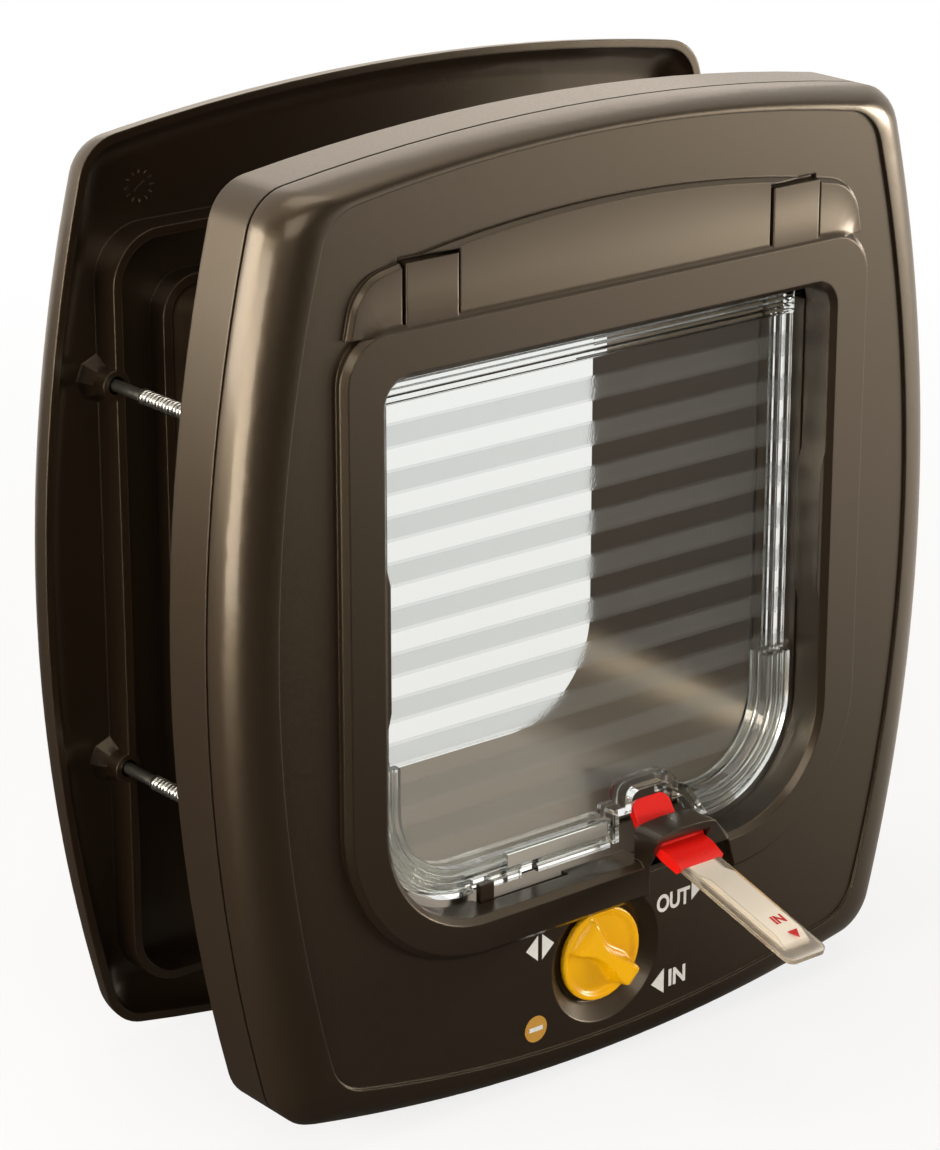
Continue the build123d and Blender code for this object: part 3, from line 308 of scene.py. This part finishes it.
def plated_steel(name, low, high, roughness):
    """Zinc-plated steel: bright, slightly cloudy metal."""
    material, tree = new_material(name)
    place = add(tree, "ShaderNodeTexCoord").outputs["Object"]
    cloud = add(tree, "ShaderNodeTexNoise", inputs={"Vector": place, "Scale": per_mm(1.5), "Detail": 3})
    colour = add(
        tree,
        "ShaderNodeMix",
        {"data_type": "RGBA"},
        {0: cloud.outputs["Fac"], 6: linear(low), 7: linear(high)},
    )
    gloss = add(
        tree,
        "ShaderNodeMapRange",
        inputs={"Value": cloud.outputs["Fac"], "To Min": roughness - 0.08, "To Max": roughness + 0.1},
    )
    shader = add(
        tree,
        "ShaderNodeBsdfPrincipled",
        inputs={"Base Color": colour.outputs[2], "Metallic": 1.0, "Roughness": gloss.outputs[0]},
    )
    show(tree, shader)
    return material


def pad_print(name, low, high):
    """Pad-printed ink: matt, thin, with a slightly uneven cover."""
    material, tree = new_material(name)
    place = add(tree, "ShaderNodeTexCoord").outputs["Object"]
    cover = add(tree, "ShaderNodeTexNoise", inputs={"Vector": place, "Scale": per_mm(0.8), "Detail": 2})
    colour = add(
        tree,
        "ShaderNodeMix",
        {"data_type": "RGBA"},
        {0: cover.outputs["Fac"], 6: linear(low), 7: linear(high)},
    )
    shader = add(
        tree,
        "ShaderNodeBsdfPrincipled",
        inputs={"Base Color": colour.outputs[2], "Roughness": 0.6},
    )
    show(tree, shader)
    return material


def milky_blade():
    """Clear polystyrene whose raised middle is milky, between clear edges and a clear end."""
    material, tree = new_material("polystyrene_milky_middle")
    place = add(tree, "ShaderNodeTexCoord").outputs["Object"]
    along = add(
        tree,
        "ShaderNodeMapping",
        {"vector_type": "TEXTURE"},
        {
            "Vector": place,
            "Location": Vector(LEVER_PIVOT) * MM,
            "Rotation": (math.radians(LEVER_TILT), 0, 0),
        },
    )
    parts = add(tree, "ShaderNodeSeparateXYZ", inputs={"Vector": along.outputs[0]}).outputs
    off_middle = add(tree, "ShaderNodeMath", {"operation": "ABSOLUTE"}, {0: parts["X"]}).outputs[0]
    across = add(
        tree,
        "ShaderNodeMapRange",
        inputs={
            "Value": off_middle,
            "From Min": (PILLOW_HALF - 0.6) * MM,
            "From Max": (PILLOW_HALF + 0.6) * MM,
            "To Min": 1.0,
            "To Max": 0.0,
        },
    ).outputs[0]
    before_end = add(
        tree,
        "ShaderNodeMapRange",
        inputs={
            "Value": parts["Y"],
            "From Min": -(PILLOW_END + 0.5) * MM,
            "From Max": -(PILLOW_END - 1.5) * MM,
        },
    ).outputs[0]
    milk = add(tree, "ShaderNodeMath", {"operation": "MULTIPLY"}, {0: across, 1: before_end}).outputs[0]
    cloud = add(tree, "ShaderNodeTexNoise", inputs={"Vector": place, "Scale": per_mm(6), "Detail": 1})
    clarity = add(tree, "ShaderNodeMapRange", inputs={"Value": milk, "To Min": 0.88, "To Max": 0.12})
    gloss = add(
        tree,
        "ShaderNodeMapRange",
        inputs={"Value": cloud.outputs["Fac"], "To Min": 0.08, "To Max": 0.2},
    )
    edges = add(tree, "ShaderNodeBevel", {"samples": 4}, {"Radius": 0.3 * MM})
    shader = add(
        tree,
        "ShaderNodeBsdfPrincipled",
        inputs={
            "Base Color": linear("#fbf3e4"),
            "Roughness": gloss.outputs[0],
            "IOR": 1.5,
            "Transmission Weight": clarity.outputs[0],
            "Normal": edges.outputs["Normal"],
        },
    )
    show(tree, shader)
    return material


# Brown ABS from a spark-eroded mould: a deep satin brown whose grain only shows in its gloss
brown_abs = moulded_plastic(
    "abs_satin_brown",
    "#19110a",
    "#1e150c",
    roughness=0.34,
    shine=0.75,
    glow="#ffeed2",
    skin=0.3,
    grain_mm=0.7,
    grain_depth=0.01,
    edge_mm=0.6,
)
# Yellow ABS from a polished mould: a clean bright colour with sharp highlights
yellow_abs = moulded_plastic(
    "abs_gloss_yellow",
    "#dfa400",
    "#e8b002",
    roughness=0.25,
    shine=0.3,
    glow="#ffffff",
    skin=0.2,
    grain_mm=1.2,
    grain_depth=0.01,
    edge_mm=0.4,
)
# Red ABS from a polished mould: as the yellow, a little duller
red_abs = moulded_plastic(
    "abs_gloss_red",
    "#e2160f",
    "#ee1e16",
    roughness=0.3,
    shine=0.3,
    glow="#ffffff",
    skin=0.2,
    grain_mm=1.2,
    grain_depth=0.01,
    edge_mm=0.3,
)
# Natural black acetal of the gear: dull and waxy
black_acetal = moulded_plastic(
    "acetal_black",
    "#141414",
    "#1c1c1c",
    roughness=0.5,
    shine=0.4,
    glow="#ffffff",
    skin=0.0,
    grain_mm=0.8,
    grain_depth=0.01,
    edge_mm=0.2,
)
# Sintered ferrite: grey, matt and grainy
ferrite = moulded_plastic(
    "ferrite_grey",
    "#8d8c86",
    "#a3a29b",
    roughness=0.55,
    shine=0.4,
    glow="#ffffff",
    skin=0.0,
    grain_mm=0.5,
    grain_depth=0.03,
    edge_mm=0.2,
)
# Clear polycarbonate of the seal: its grooves bend what lies behind into light and dark lines
clear_edge = clear_plastic("polycarbonate_clear", "#f4f6f3", clarity=0.97, roughness=0.03, edge_mm=0.3)
# Blade and sheet: milky where the blade is raised, hazy where the sheet is frosted
clear_blade = milky_blade()
frosted_sheet = frosted_flap()
# Zinc plating of the threads and small screws is bright; the clamp screws' shanks and heads are a darker
# grey
zinc_steel = plated_steel("steel_zinc_plated", "#a9abab", "#d6d7d4", roughness=0.28)
dark_steel = plated_steel("steel_dark_grey", "#6c6c68", "#868680", roughness=0.42)
# Pad-printed inks: flat and matt against the satin brown and the clear blade
white_ink = pad_print("ink_white", "#c4c7c6", "#d2d5d4")
amber_ink = pad_print("ink_amber", "#a87a1e", "#b4862a")
red_ink = pad_print("ink_red", "#c01e22", "#cf2a2c")

finish_of_slot = {
    "brown_plastic": brown_abs,
    "clear_plastic": clear_edge,
    "yellow_plastic": yellow_abs,
    "red_plastic": red_abs,
    "dark_plastic": black_acetal,
    "magnet_grey": ferrite,
    "zinc_steel": zinc_steel,
}
finish_of_node = {"flap": frosted_sheet, "indicator_blade": clear_blade}


def finish_for(node):
    """Material of a CAD node."""
    return finish_of_node.get(node, finish_of_slot[slot_of_node[node]])


def place_piece(name, mesh, material, body):
    """Puts a finished mesh in the scene as a piece that moves with a body."""
    mesh.materials.clear()
    mesh.materials.append(material)
    piece = bpy.data.objects.new(name, mesh)
    bpy.context.scene.collection.objects.link(piece)
    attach(piece, body)
    return piece


def merged_mesh(node, keep=None):
    """Copy of a CAD node's mesh with its triangles joined, smooth up to a fold of 30 degrees."""
    mesh = frame["nodes"][node].data.copy()
    shell = bmesh.new()
    shell.from_mesh(mesh)
    bmesh.ops.remove_doubles(shell, verts=shell.verts, dist=0.001 * MM)
    if keep:
        gone = [face for face in shell.faces if not keep(face.calc_center_median())]
        bmesh.ops.delete(shell, geom=gone, context="FACES")
    for face in shell.faces:
        face.smooth = True
    for edge in shell.edges:
        edge.smooth = edge.calc_face_angle(math.pi) < math.radians(30)
    shell.to_mesh(mesh)
    shell.free()
    return mesh


def softened_mesh(node, cell_mm, rounds):
    """Copy of a CAD node's mesh with its edges rounded over, as a polished mould leaves them."""
    draft = bpy.data.objects.new(node + "_draft", merged_mesh(node))
    bpy.context.scene.collection.objects.link(draft)
    cells = draft.modifiers.new("cells", "REMESH")
    cells.mode = "VOXEL"
    cells.voxel_size = cell_mm * MM
    cells.use_smooth_shade = True
    rounding = draft.modifiers.new("rounding", "SMOOTH")
    rounding.factor = 0.5
    rounding.iterations = rounds
    mesh = bpy.data.meshes.new_from_object(draft.evaluated_get(bpy.context.evaluated_depsgraph_get()))
    bpy.data.objects.remove(draft)
    return mesh


# CAD nodes with curved walls are shown by smooth copies, the others by themselves
smooth_nodes = (
    "front_cover",
    "front_housing",
    "tunnel_liner",
    "rear_frame",
    "flap",
    "flap_seal_left",
    "flap_seal_right",
    "selector_knob",
    "indicator_lever",
    "indicator_blade",
)
for node, part in frame["nodes"].items():
    if node in smooth_nodes:
        if node == "selector_knob":
            skin = softened_mesh(node, KNOB_CELL, KNOB_ROUNDS)
        else:
            skin = merged_mesh(node)
        piece = place_piece(node + "_skin", skin, finish_for(node), body_of_node[node])
        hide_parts(node)
    elif node != "clamp_screws":
        part.data.materials.clear()
        part.data.materials.append(finish_for(node))

# Clamp screws: plain dark grey shank and head from the CAD node, rolled thread added
shanks = place_piece(
    "clamp_screw_shanks",
    merged_mesh("clamp_screws", keep=lambda middle: middle.y > THREAD_START_Y * MM),
    dark_steel,
    "frame",
)
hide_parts("clamp_screws")


def thread_tree():
    """Geometry nodes of the threads: a core and a helical ridge at the corners of a rectangle."""
    tree = bpy.data.node_groups.new("clamp_screw_threads", "GeometryNodeTree")
    tree.interface.new_socket("Geometry", in_out="OUTPUT", socket_type="NodeSocketGeometry")
    sizes = ("Width", "Height", "Length", "Core Radius", "Ridge", "Pitch")
    for size in sizes:
        tree.interface.new_socket(size, in_out="INPUT", socket_type="NodeSocketFloat")
    given = add(tree, "NodeGroupInput").outputs
    corners = add(
        tree,
        "GeometryNodeMeshGrid",
        inputs={"Size X": given["Width"], "Size Y": given["Height"], "Vertices X": 2, "Vertices Y": 2},
    )
    turns = add(tree, "ShaderNodeMath", {"operation": "DIVIDE"}, {0: given["Length"], 1: given["Pitch"]})
    helix = add(
        tree,
        "GeometryNodeCurveSpiral",
        inputs={
            "Resolution": 14,
            "Rotations": turns.outputs[0],
            "Start Radius": given["Core Radius"],
            "End Radius": given["Core Radius"],
            "Height": given["Length"],
        },
    )
    ridge = add(
        tree,
        "GeometryNodeCurvePrimitiveCircle",
        inputs={"Resolution": 4, "Radius": given["Ridge"]},
    )
    thread = add(
        tree,
        "GeometryNodeCurveToMesh",
        inputs={"Curve": helix.outputs[0], "Profile Curve": ridge.outputs[0], "Fill Caps": True},
    )
    core = add(
        tree,
        "GeometryNodeMeshCylinder",
        inputs={"Vertices": 20, "Radius": given["Core Radius"], "Depth": given["Length"]},
    )
    half = add(tree, "ShaderNodeMath", {"operation": "MULTIPLY"}, {0: given["Length"], 1: 0.5})
    lift = add(tree, "ShaderNodeCombineXYZ", inputs={"Z": half.outputs[0]})
    standing = add(
        tree,
        "GeometryNodeTransform",
        inputs={"Geometry": core.outputs[0], "Translation": lift.outputs[0]},
    )
    screw = add(tree, "GeometryNodeJoinGeometry")
    tree.links.new(thread.outputs[0], screw.inputs[0])
    tree.links.new(standing.outputs[0], screw.inputs[0])
    placed = add(
        tree,
        "GeometryNodeInstanceOnPoints",
        inputs={"Points": corners.outputs[0], "Instance": screw.outputs[0]},
    )
    solid = add(tree, "GeometryNodeRealizeInstances", inputs={"Geometry": placed.outputs[0]})
    coated = add(
        tree, "GeometryNodeSetMaterial", inputs={"Geometry": solid.outputs[0], "Material": zinc_steel}
    )
    add(tree, "NodeGroupOutput", inputs={0: coated.outputs[0]})
    return tree


def grown_mesh(name, tree, sizes):
    """Plain mesh of a geometry tree, with its named inputs set in millimetres."""
    seed = bpy.data.objects.new(name + "_seed", bpy.data.meshes.new(name + "_seed"))
    bpy.context.scene.collection.objects.link(seed)
    modifier = seed.modifiers.new("grow", "NODES")
    modifier.node_group = tree
    for socket in tree.interface.items_tree:
        if socket.in_out == "INPUT":
            modifier[socket.identifier] = sizes[socket.name] * MM
    depsgraph = bpy.context.evaluated_depsgraph_get()
    mesh = bpy.data.meshes.new_from_object(seed.evaluated_get(depsgraph))
    bpy.data.objects.remove(seed)
    return mesh


thread_mesh = grown_mesh(
    "threads",
    thread_tree(),
    {
        "Width": CLAMP_WIDTH,
        "Height": CLAMP_HEIGHT,
        "Length": THREAD_START_Y - THREAD_END_Y,
        "Core Radius": THREAD_CORE,
        "Ridge": THREAD_RADIUS - THREAD_CORE,
        "Pitch": THREAD_PITCH,
    },
)
thread_mesh.transform(
    Matrix.Translation((0, THREAD_START_Y * MM, CLAMP_MIDDLE_Z * MM)) @ Matrix.Rotation(math.pi / 2, 4, "X")
)
place_piece("clamp_screw_threads", thread_mesh, zinc_steel, "frame")


def dial_tree():
    """Geometry nodes of the mould's dial: ticks around a circle and a pointer across its middle."""
    tree = bpy.data.node_groups.new("mould_dial", "GeometryNodeTree")
    tree.interface.new_socket("Geometry", in_out="OUTPUT", socket_type="NodeSocketGeometry")
    for size in ("Radius", "Tick", "Height"):
        tree.interface.new_socket(size, in_out="INPUT", socket_type="NodeSocketFloat")
    given = add(tree, "NodeGroupInput").outputs
    ring = add(tree, "GeometryNodeMeshCircle", inputs={"Vertices": 12, "Radius": given["Radius"]})
    outward = add(
        tree,
        "FunctionNodeAlignRotationToVector",
        {"axis": "X", "pivot_axis": "Z"},
        {"Vector": add(tree, "GeometryNodeInputPosition").outputs[0]},
    )
    half = add(tree, "ShaderNodeMath", {"operation": "MULTIPLY"}, {0: given["Tick"], 1: 0.5}).outputs[0]
    tick_size = add(
        tree, "ShaderNodeCombineXYZ", inputs={"X": given["Tick"], "Y": half, "Z": given["Height"]}
    )
    tick = add(tree, "GeometryNodeMeshCube", inputs={"Size": tick_size.outputs[0]})
    placed = add(
        tree,
        "GeometryNodeInstanceOnPoints",
        inputs={
            "Points": ring.outputs[0],
            "Instance": tick.outputs[0],
            "Rotation": outward.outputs[0],
        },
    )
    bar_size = add(
        tree, "ShaderNodeCombineXYZ", inputs={"X": given["Radius"], "Y": half, "Z": given["Height"]}
    )
    bar = add(tree, "GeometryNodeMeshCube", inputs={"Size": bar_size.outputs[0]})
    pointer = add(
        tree,
        "GeometryNodeTransform",
        inputs={"Geometry": bar.outputs[0], "Rotation": (0, 0, math.radians(35))},
    )
    whole = add(tree, "GeometryNodeJoinGeometry")
    tree.links.new(placed.outputs[0], whole.inputs[0])
    tree.links.new(pointer.outputs[0], whole.inputs[0])
    solid = add(tree, "GeometryNodeRealizeInstances", inputs={"Geometry": whole.outputs[0]})
    coloured = add(
        tree, "GeometryNodeSetMaterial", inputs={"Geometry": solid.outputs[0], "Material": brown_abs}
    )
    add(tree, "NodeGroupOutput", inputs={0: coloured.outputs[0]})
    return tree


dial_mesh = grown_mesh(
    "dial", dial_tree(), {"Radius": DIAL_RADIUS, "Tick": DIAL_TICK, "Height": DIAL_HEIGHT}
)
dial_mesh.transform(Matrix.Translation(Vector(DIAL_PLACE) * MM) @ Matrix.Rotation(math.pi / 2, 4, "X"))
place_piece("mould_dial", dial_mesh, brown_abs, "frame")


def on_panel(x, z):
    """Places a print drawn in the XY plane on the front panel, in millimetres."""
    return Matrix.Translation((x * MM, PANEL_Y * MM, z * MM)) @ Matrix.Rotation(math.pi / 2, 4, "X")


def printed_words(name, words, height, weight, width, place, material, body):
    """Lettering as a thin printed layer, its width given as a share of the type's own."""
    text = bpy.data.curves.new(name, "FONT")
    text.body = words
    text.size = height * MM
    text.offset = weight * MM
    text.extrude = PRINT_HEIGHT * MM
    text.align_x = "CENTER"
    text.align_y = "CENTER"
    draft = bpy.data.objects.new(name + "_draft", text)
    bpy.context.scene.collection.objects.link(draft)
    mesh = bpy.data.meshes.new_from_object(draft.evaluated_get(bpy.context.evaluated_depsgraph_get()))
    bpy.data.objects.remove(draft)
    mesh.transform(place @ Matrix.Diagonal((width, 1, 1, 1)))
    return place_piece(name, mesh, material, body)


def printed_shape(name, outlines, height, place, material, body):
    """Flat outlines, in millimetres, as a thin printed layer."""
    shape = bmesh.new()
    for outline in outlines:
        corners = [shape.verts.new((x * MM, y * MM, -height * MM)) for x, y in outline]
        made = bmesh.ops.extrude_face_region(shape, geom=[shape.faces.new(corners)])
        raised = [v for v in made["geom"] if isinstance(v, bmesh.types.BMVert)]
        bmesh.ops.translate(shape, verts=raised, vec=(0, 0, 2 * height * MM))
    bmesh.ops.recalc_face_normals(shape, faces=shape.faces)
    mesh = bpy.data.meshes.new(name)
    shape.to_mesh(mesh)
    shape.free()
    mesh.transform(place)
    return place_piece(name, mesh, material, body)


def disc(radius, sides=40):
    """Corners of a round outline."""
    return [
        (radius * math.cos(2 * math.pi * i / sides), radius * math.sin(2 * math.pi * i / sides))
        for i in range(sides)
    ]


def arrow(x, y, width, height):
    """Corners of a triangle; a negative width points it to the left."""
    return [(x, y - height / 2), (x + width, y), (x, y + height / 2)]


# Marks of the four lock positions
printed_shape(
    "mark_both_ways",
    [arrow(-0.7, 0, -3.9, ARROW_HEIGHT), arrow(0.7, 0, 3.9, ARROW_HEIGHT)],
    PRINT_HEIGHT,
    on_panel(-22.0, -89.7),
    white_ink,
    "frame",
)
for name, words, width, place in (
    ("mark_out", "OUT", 0.82, on_panel(23.0, -89.6)),
    ("mark_in", "IN", 0.95, on_panel(24.8, -111.6)),
):
    printed_words(
        name, words, WORD_HEIGHT, WORD_WEIGHT, width, place, white_ink, "frame"
    )
for name, width, place in (
    ("mark_out_arrow", ARROW_WIDTH, on_panel(29.4, -87.7)),
    ("mark_in_arrow", -ARROW_WIDTH, on_panel(20.2, -111.6)),
):
    printed_shape(
        name,
        [arrow(0, 0, width, ARROW_HEIGHT)],
        PRINT_HEIGHT,
        place,
        white_ink,
        "frame",
    )
printed_shape(
    "mark_closed", [disc(3.6)], PRINT_HEIGHT, on_panel(*CLOSED_PLACE), amber_ink, "frame"
)
printed_shape(
    "mark_closed_bar",
    [[(-2.2, -0.6), (2.2, -0.6), (2.2, 0.6), (-2.2, 0.6)]],
    2 * PRINT_HEIGHT,
    on_panel(*CLOSED_PLACE),
    white_ink,
    "frame",
)


def on_blade(x, along):
    """Places a print on the top of the indicator's blade, a distance from its pivot."""
    pivot = Matrix.Translation(Vector(LEVER_PIVOT) * MM)
    tilt = Matrix.Rotation(math.radians(LEVER_TILT), 4, "X")
    return pivot @ tilt @ Matrix.Translation((x * MM, -along * MM, PILLOW_TOP * MM))


printed_words(
    "mark_blade_in", "IN", 4.2, 0.15, 0.9, on_blade(1.0, 38.6), red_ink, "indicator"
)
printed_shape(
    "mark_blade_arrow",
    [[(-1.6, 0), (0, -3.0), (1.6, 0)]],
    PRINT_HEIGHT,
    on_blade(1.2, 43.4),
    red_ink,
    "indicator",
)


# Floor, backdrop and light
def ways_seen(tree):
    """Whether a ray looks at the stage, straight or through clear plastic; mirrors it; is not scattered."""
    path = add(tree, "ShaderNodeLightPath").outputs
    direct = add(
        tree, "ShaderNodeMath", {"operation": "LESS_THAN"}, {0: path["Diffuse Depth"], 1: 0.5}
    ).outputs[0]
    through = add(
        tree, "ShaderNodeMath", {"operation": "MULTIPLY"}, {0: path["Is Transmission Ray"], 1: direct}
    ).outputs[0]
    looked_at = add(
        tree, "ShaderNodeMath", {"operation": "MAXIMUM"}, {0: path["Is Camera Ray"], 1: through}
    ).outputs[0]
    reflected = add(
        tree,
        "ShaderNodeMath",
        {"operation": "SUBTRACT", "use_clamp": True},
        {0: path["Is Glossy Ray"], 1: path["Is Transmission Ray"]},
    ).outputs[0]
    return looked_at, reflected, direct


def stage_material():
    """Pale matt paper that keeps the object's shadow; in reflections it glows as a warm painted reflection
    on its right and dims to painted shade on its left.
    """
    material, tree = new_material("floor_pale_paper")
    place = add(tree, "ShaderNodeTexCoord").outputs["Object"]
    looked_at, reflected, _ = ways_seen(tree)
    fibre = add(tree, "ShaderNodeTexNoise", inputs={"Vector": place, "Scale": per_mm(30)})
    colour = add(
        tree,
        "ShaderNodeMix",
        {"data_type": "RGBA"},
        {0: fibre.outputs["Fac"], 6: linear("#f2f2f1"), 7: linear("#f6f6f5")},
    )
    paper = add(
        tree, "ShaderNodeBsdfPrincipled", inputs={"Base Color": colour.outputs[2], "Roughness": 0.9}
    )
    white = add(tree, "ShaderNodeEmission", inputs={"Color": linear("#ffffff"), "Strength": 1.0})
    distance = add(tree, "ShaderNodeVectorMath", {"operation": "LENGTH"}, {0: place}).outputs["Value"]
    cover = add(
        tree,
        "ShaderNodeMapRange",
        inputs={
            "Value": distance,
            "From Min": SHADOW_NEAR,
            "From Max": SHADOW_FAR,
            "To Min": PAPER_WHITE,
            "To Max": 1.0,
        },
    ).outputs[0]
    share = add(tree, "ShaderNodeMath", {"operation": "MULTIPLY"}, {0: looked_at, 1: cover}).outputs[0]
    pale = add(
        tree, "ShaderNodeMixShader", inputs={0: share, 1: paper.outputs[0], 2: white.outputs[0]}
    )
    # Painted reflection and painted shade: seen in reflections, the floor glows warm on its right and dim
    # on its left
    right = add(
        tree, "ShaderNodeVectorMath", {"operation": "DOT_PRODUCT"}, {0: place, 1: PAINTED_REFLECTION_SIDE}
    ).outputs["Value"]
    painted_reflection_level = add(
        tree,
        "ShaderNodeMapRange",
        inputs={
            "Value": right,
            "From Min": PAINTED_REFLECTION_START,
            "From Max": PAINTED_REFLECTION_END,
            "To Min": PAINTED_SHADE_IN_REFLECTION,
            "To Max": 1.0,
        },
    ).outputs[0]
    mirrored = add(
        tree, "ShaderNodeEmission", inputs={"Color": linear(LAMP_COLOUR), "Strength": painted_reflection_level}
    )
    whole = add(
        tree, "ShaderNodeMixShader", inputs={0: reflected, 1: pale.outputs[0], 2: mirrored.outputs[0]}
    )
    show(tree, whole)
    return material


floor_mesh = bpy.data.meshes.new("floor")
floor_mesh.from_pydata(
    [
        (x * FLOOR_REACH, y * FLOOR_REACH, FLOOR_Z * MM)
        for x, y in ((-1, -1), (1, -1), (1, 1), (-1, 1))
    ],
    [],
    [(0, 1, 2, 3)],
)
floor_mesh.materials.append(stage_material())
floor = bpy.data.objects.new("floor", floor_mesh)
bpy.context.scene.collection.objects.link(floor)

# World: white where it is looked at, mirrored bright behind and above the object and dim in front
world = bpy.data.worlds.new("studio")
bpy.context.scene.world = world
world.use_nodes = True
sky = world.node_tree
sky.nodes.clear()
looked_at, reflected, direct = ways_seen(sky)
heading = add(sky, "ShaderNodeTexCoord").outputs["Generated"]
behind = add(
    sky, "ShaderNodeVectorMath", {"operation": "DOT_PRODUCT"}, {0: heading, 1: (0.25, 0.75, 0.6)}
).outputs["Value"]
bright = add(
    sky,
    "ShaderNodeMapRange",
    inputs={"Value": behind, "From Min": -0.2, "From Max": 0.4, "To Min": 0.1, "To Max": 1.0},
).outputs[0]
shown = add(sky, "ShaderNodeMath", {"operation": "MULTIPLY"}, {0: reflected, 1: direct}).outputs[0]
ambient = add(sky, "ShaderNodeBackground", inputs={"Color": linear("#eef0f2"), "Strength": 0.3})
white = add(sky, "ShaderNodeBackground", inputs={"Color": linear("#ffffff"), "Strength": 1.0})
mirrored = add(sky, "ShaderNodeBackground", inputs={"Color": linear(LAMP_COLOUR), "Strength": bright})
plain = add(
    sky, "ShaderNodeMixShader", inputs={0: looked_at, 1: ambient.outputs[0], 2: white.outputs[0]}
)
whole = add(sky, "ShaderNodeMixShader", inputs={0: shown, 1: plain.outputs[0], 2: mirrored.outputs[0]})
add(sky, "ShaderNodeOutputWorld", inputs={"Surface": whole.outputs[0]})


def soft_box(name, place, target, width, height, power):
    """Large rectangular lamp aimed at a point, all in metres and watts."""
    lamp = bpy.data.lights.new(name, "AREA")
    lamp.shape = "RECTANGLE"
    lamp.size = width
    lamp.size_y = height
    lamp.energy = power
    lamp.color = linear(LAMP_COLOUR)[:3]
    holder = bpy.data.objects.new(name, lamp)
    holder.location = place
    holder.rotation_euler = (Vector(target) - Vector(place)).to_track_quat("-Z", "Y").to_euler()
    holder.visible_camera = False
    bpy.context.scene.collection.objects.link(holder)


# Low wide lamp in front on the right, one above, one behind on the right, two on the left, one in front
soft_box("key_light", (1.75, -1.0, 0.03), (0, 0, 0.03), 0.9, 0.3, 26)
soft_box("top_light", (0, -0.1, 1.8), (0, 0, 0), 1.2, 1.2, 10)
soft_box("back_light", (1.0, 1.5, 0.9), (0, 0, 0), 1.2, 1.2, 3)
soft_box("side_light", (-1.7, 0.8, 0.3), (0, 0, 0), 1.3, 0.7, 30)
soft_box("left_light", (-0.6, -0.1, 0.03), (-0.11, 0, 0), 0.3, 0.3, 2.8)
soft_box("front_light", (-0.9, -1.5, 0.9), (0, 0, 0), 1.2, 1.0, 11)

camera_data = bpy.data.cameras.new("picture_camera")
camera_data.sensor_fit = "VERTICAL"
camera_data.sensor_height = SENSOR
camera_data.lens = CAMERA_LENS
camera_data.clip_start = 0.01
camera = bpy.data.objects.new("picture_camera", camera_data)
camera.location = Vector(CAMERA_PLACE) * MM
camera.rotation_euler = Vector(CAMERA_AIM).to_track_quat("-Z", "Y").to_euler()
bpy.context.scene.collection.objects.link(camera)
bpy.context.scene.camera = camera
bpy.context.scene.view_settings.view_transform = "Standard"
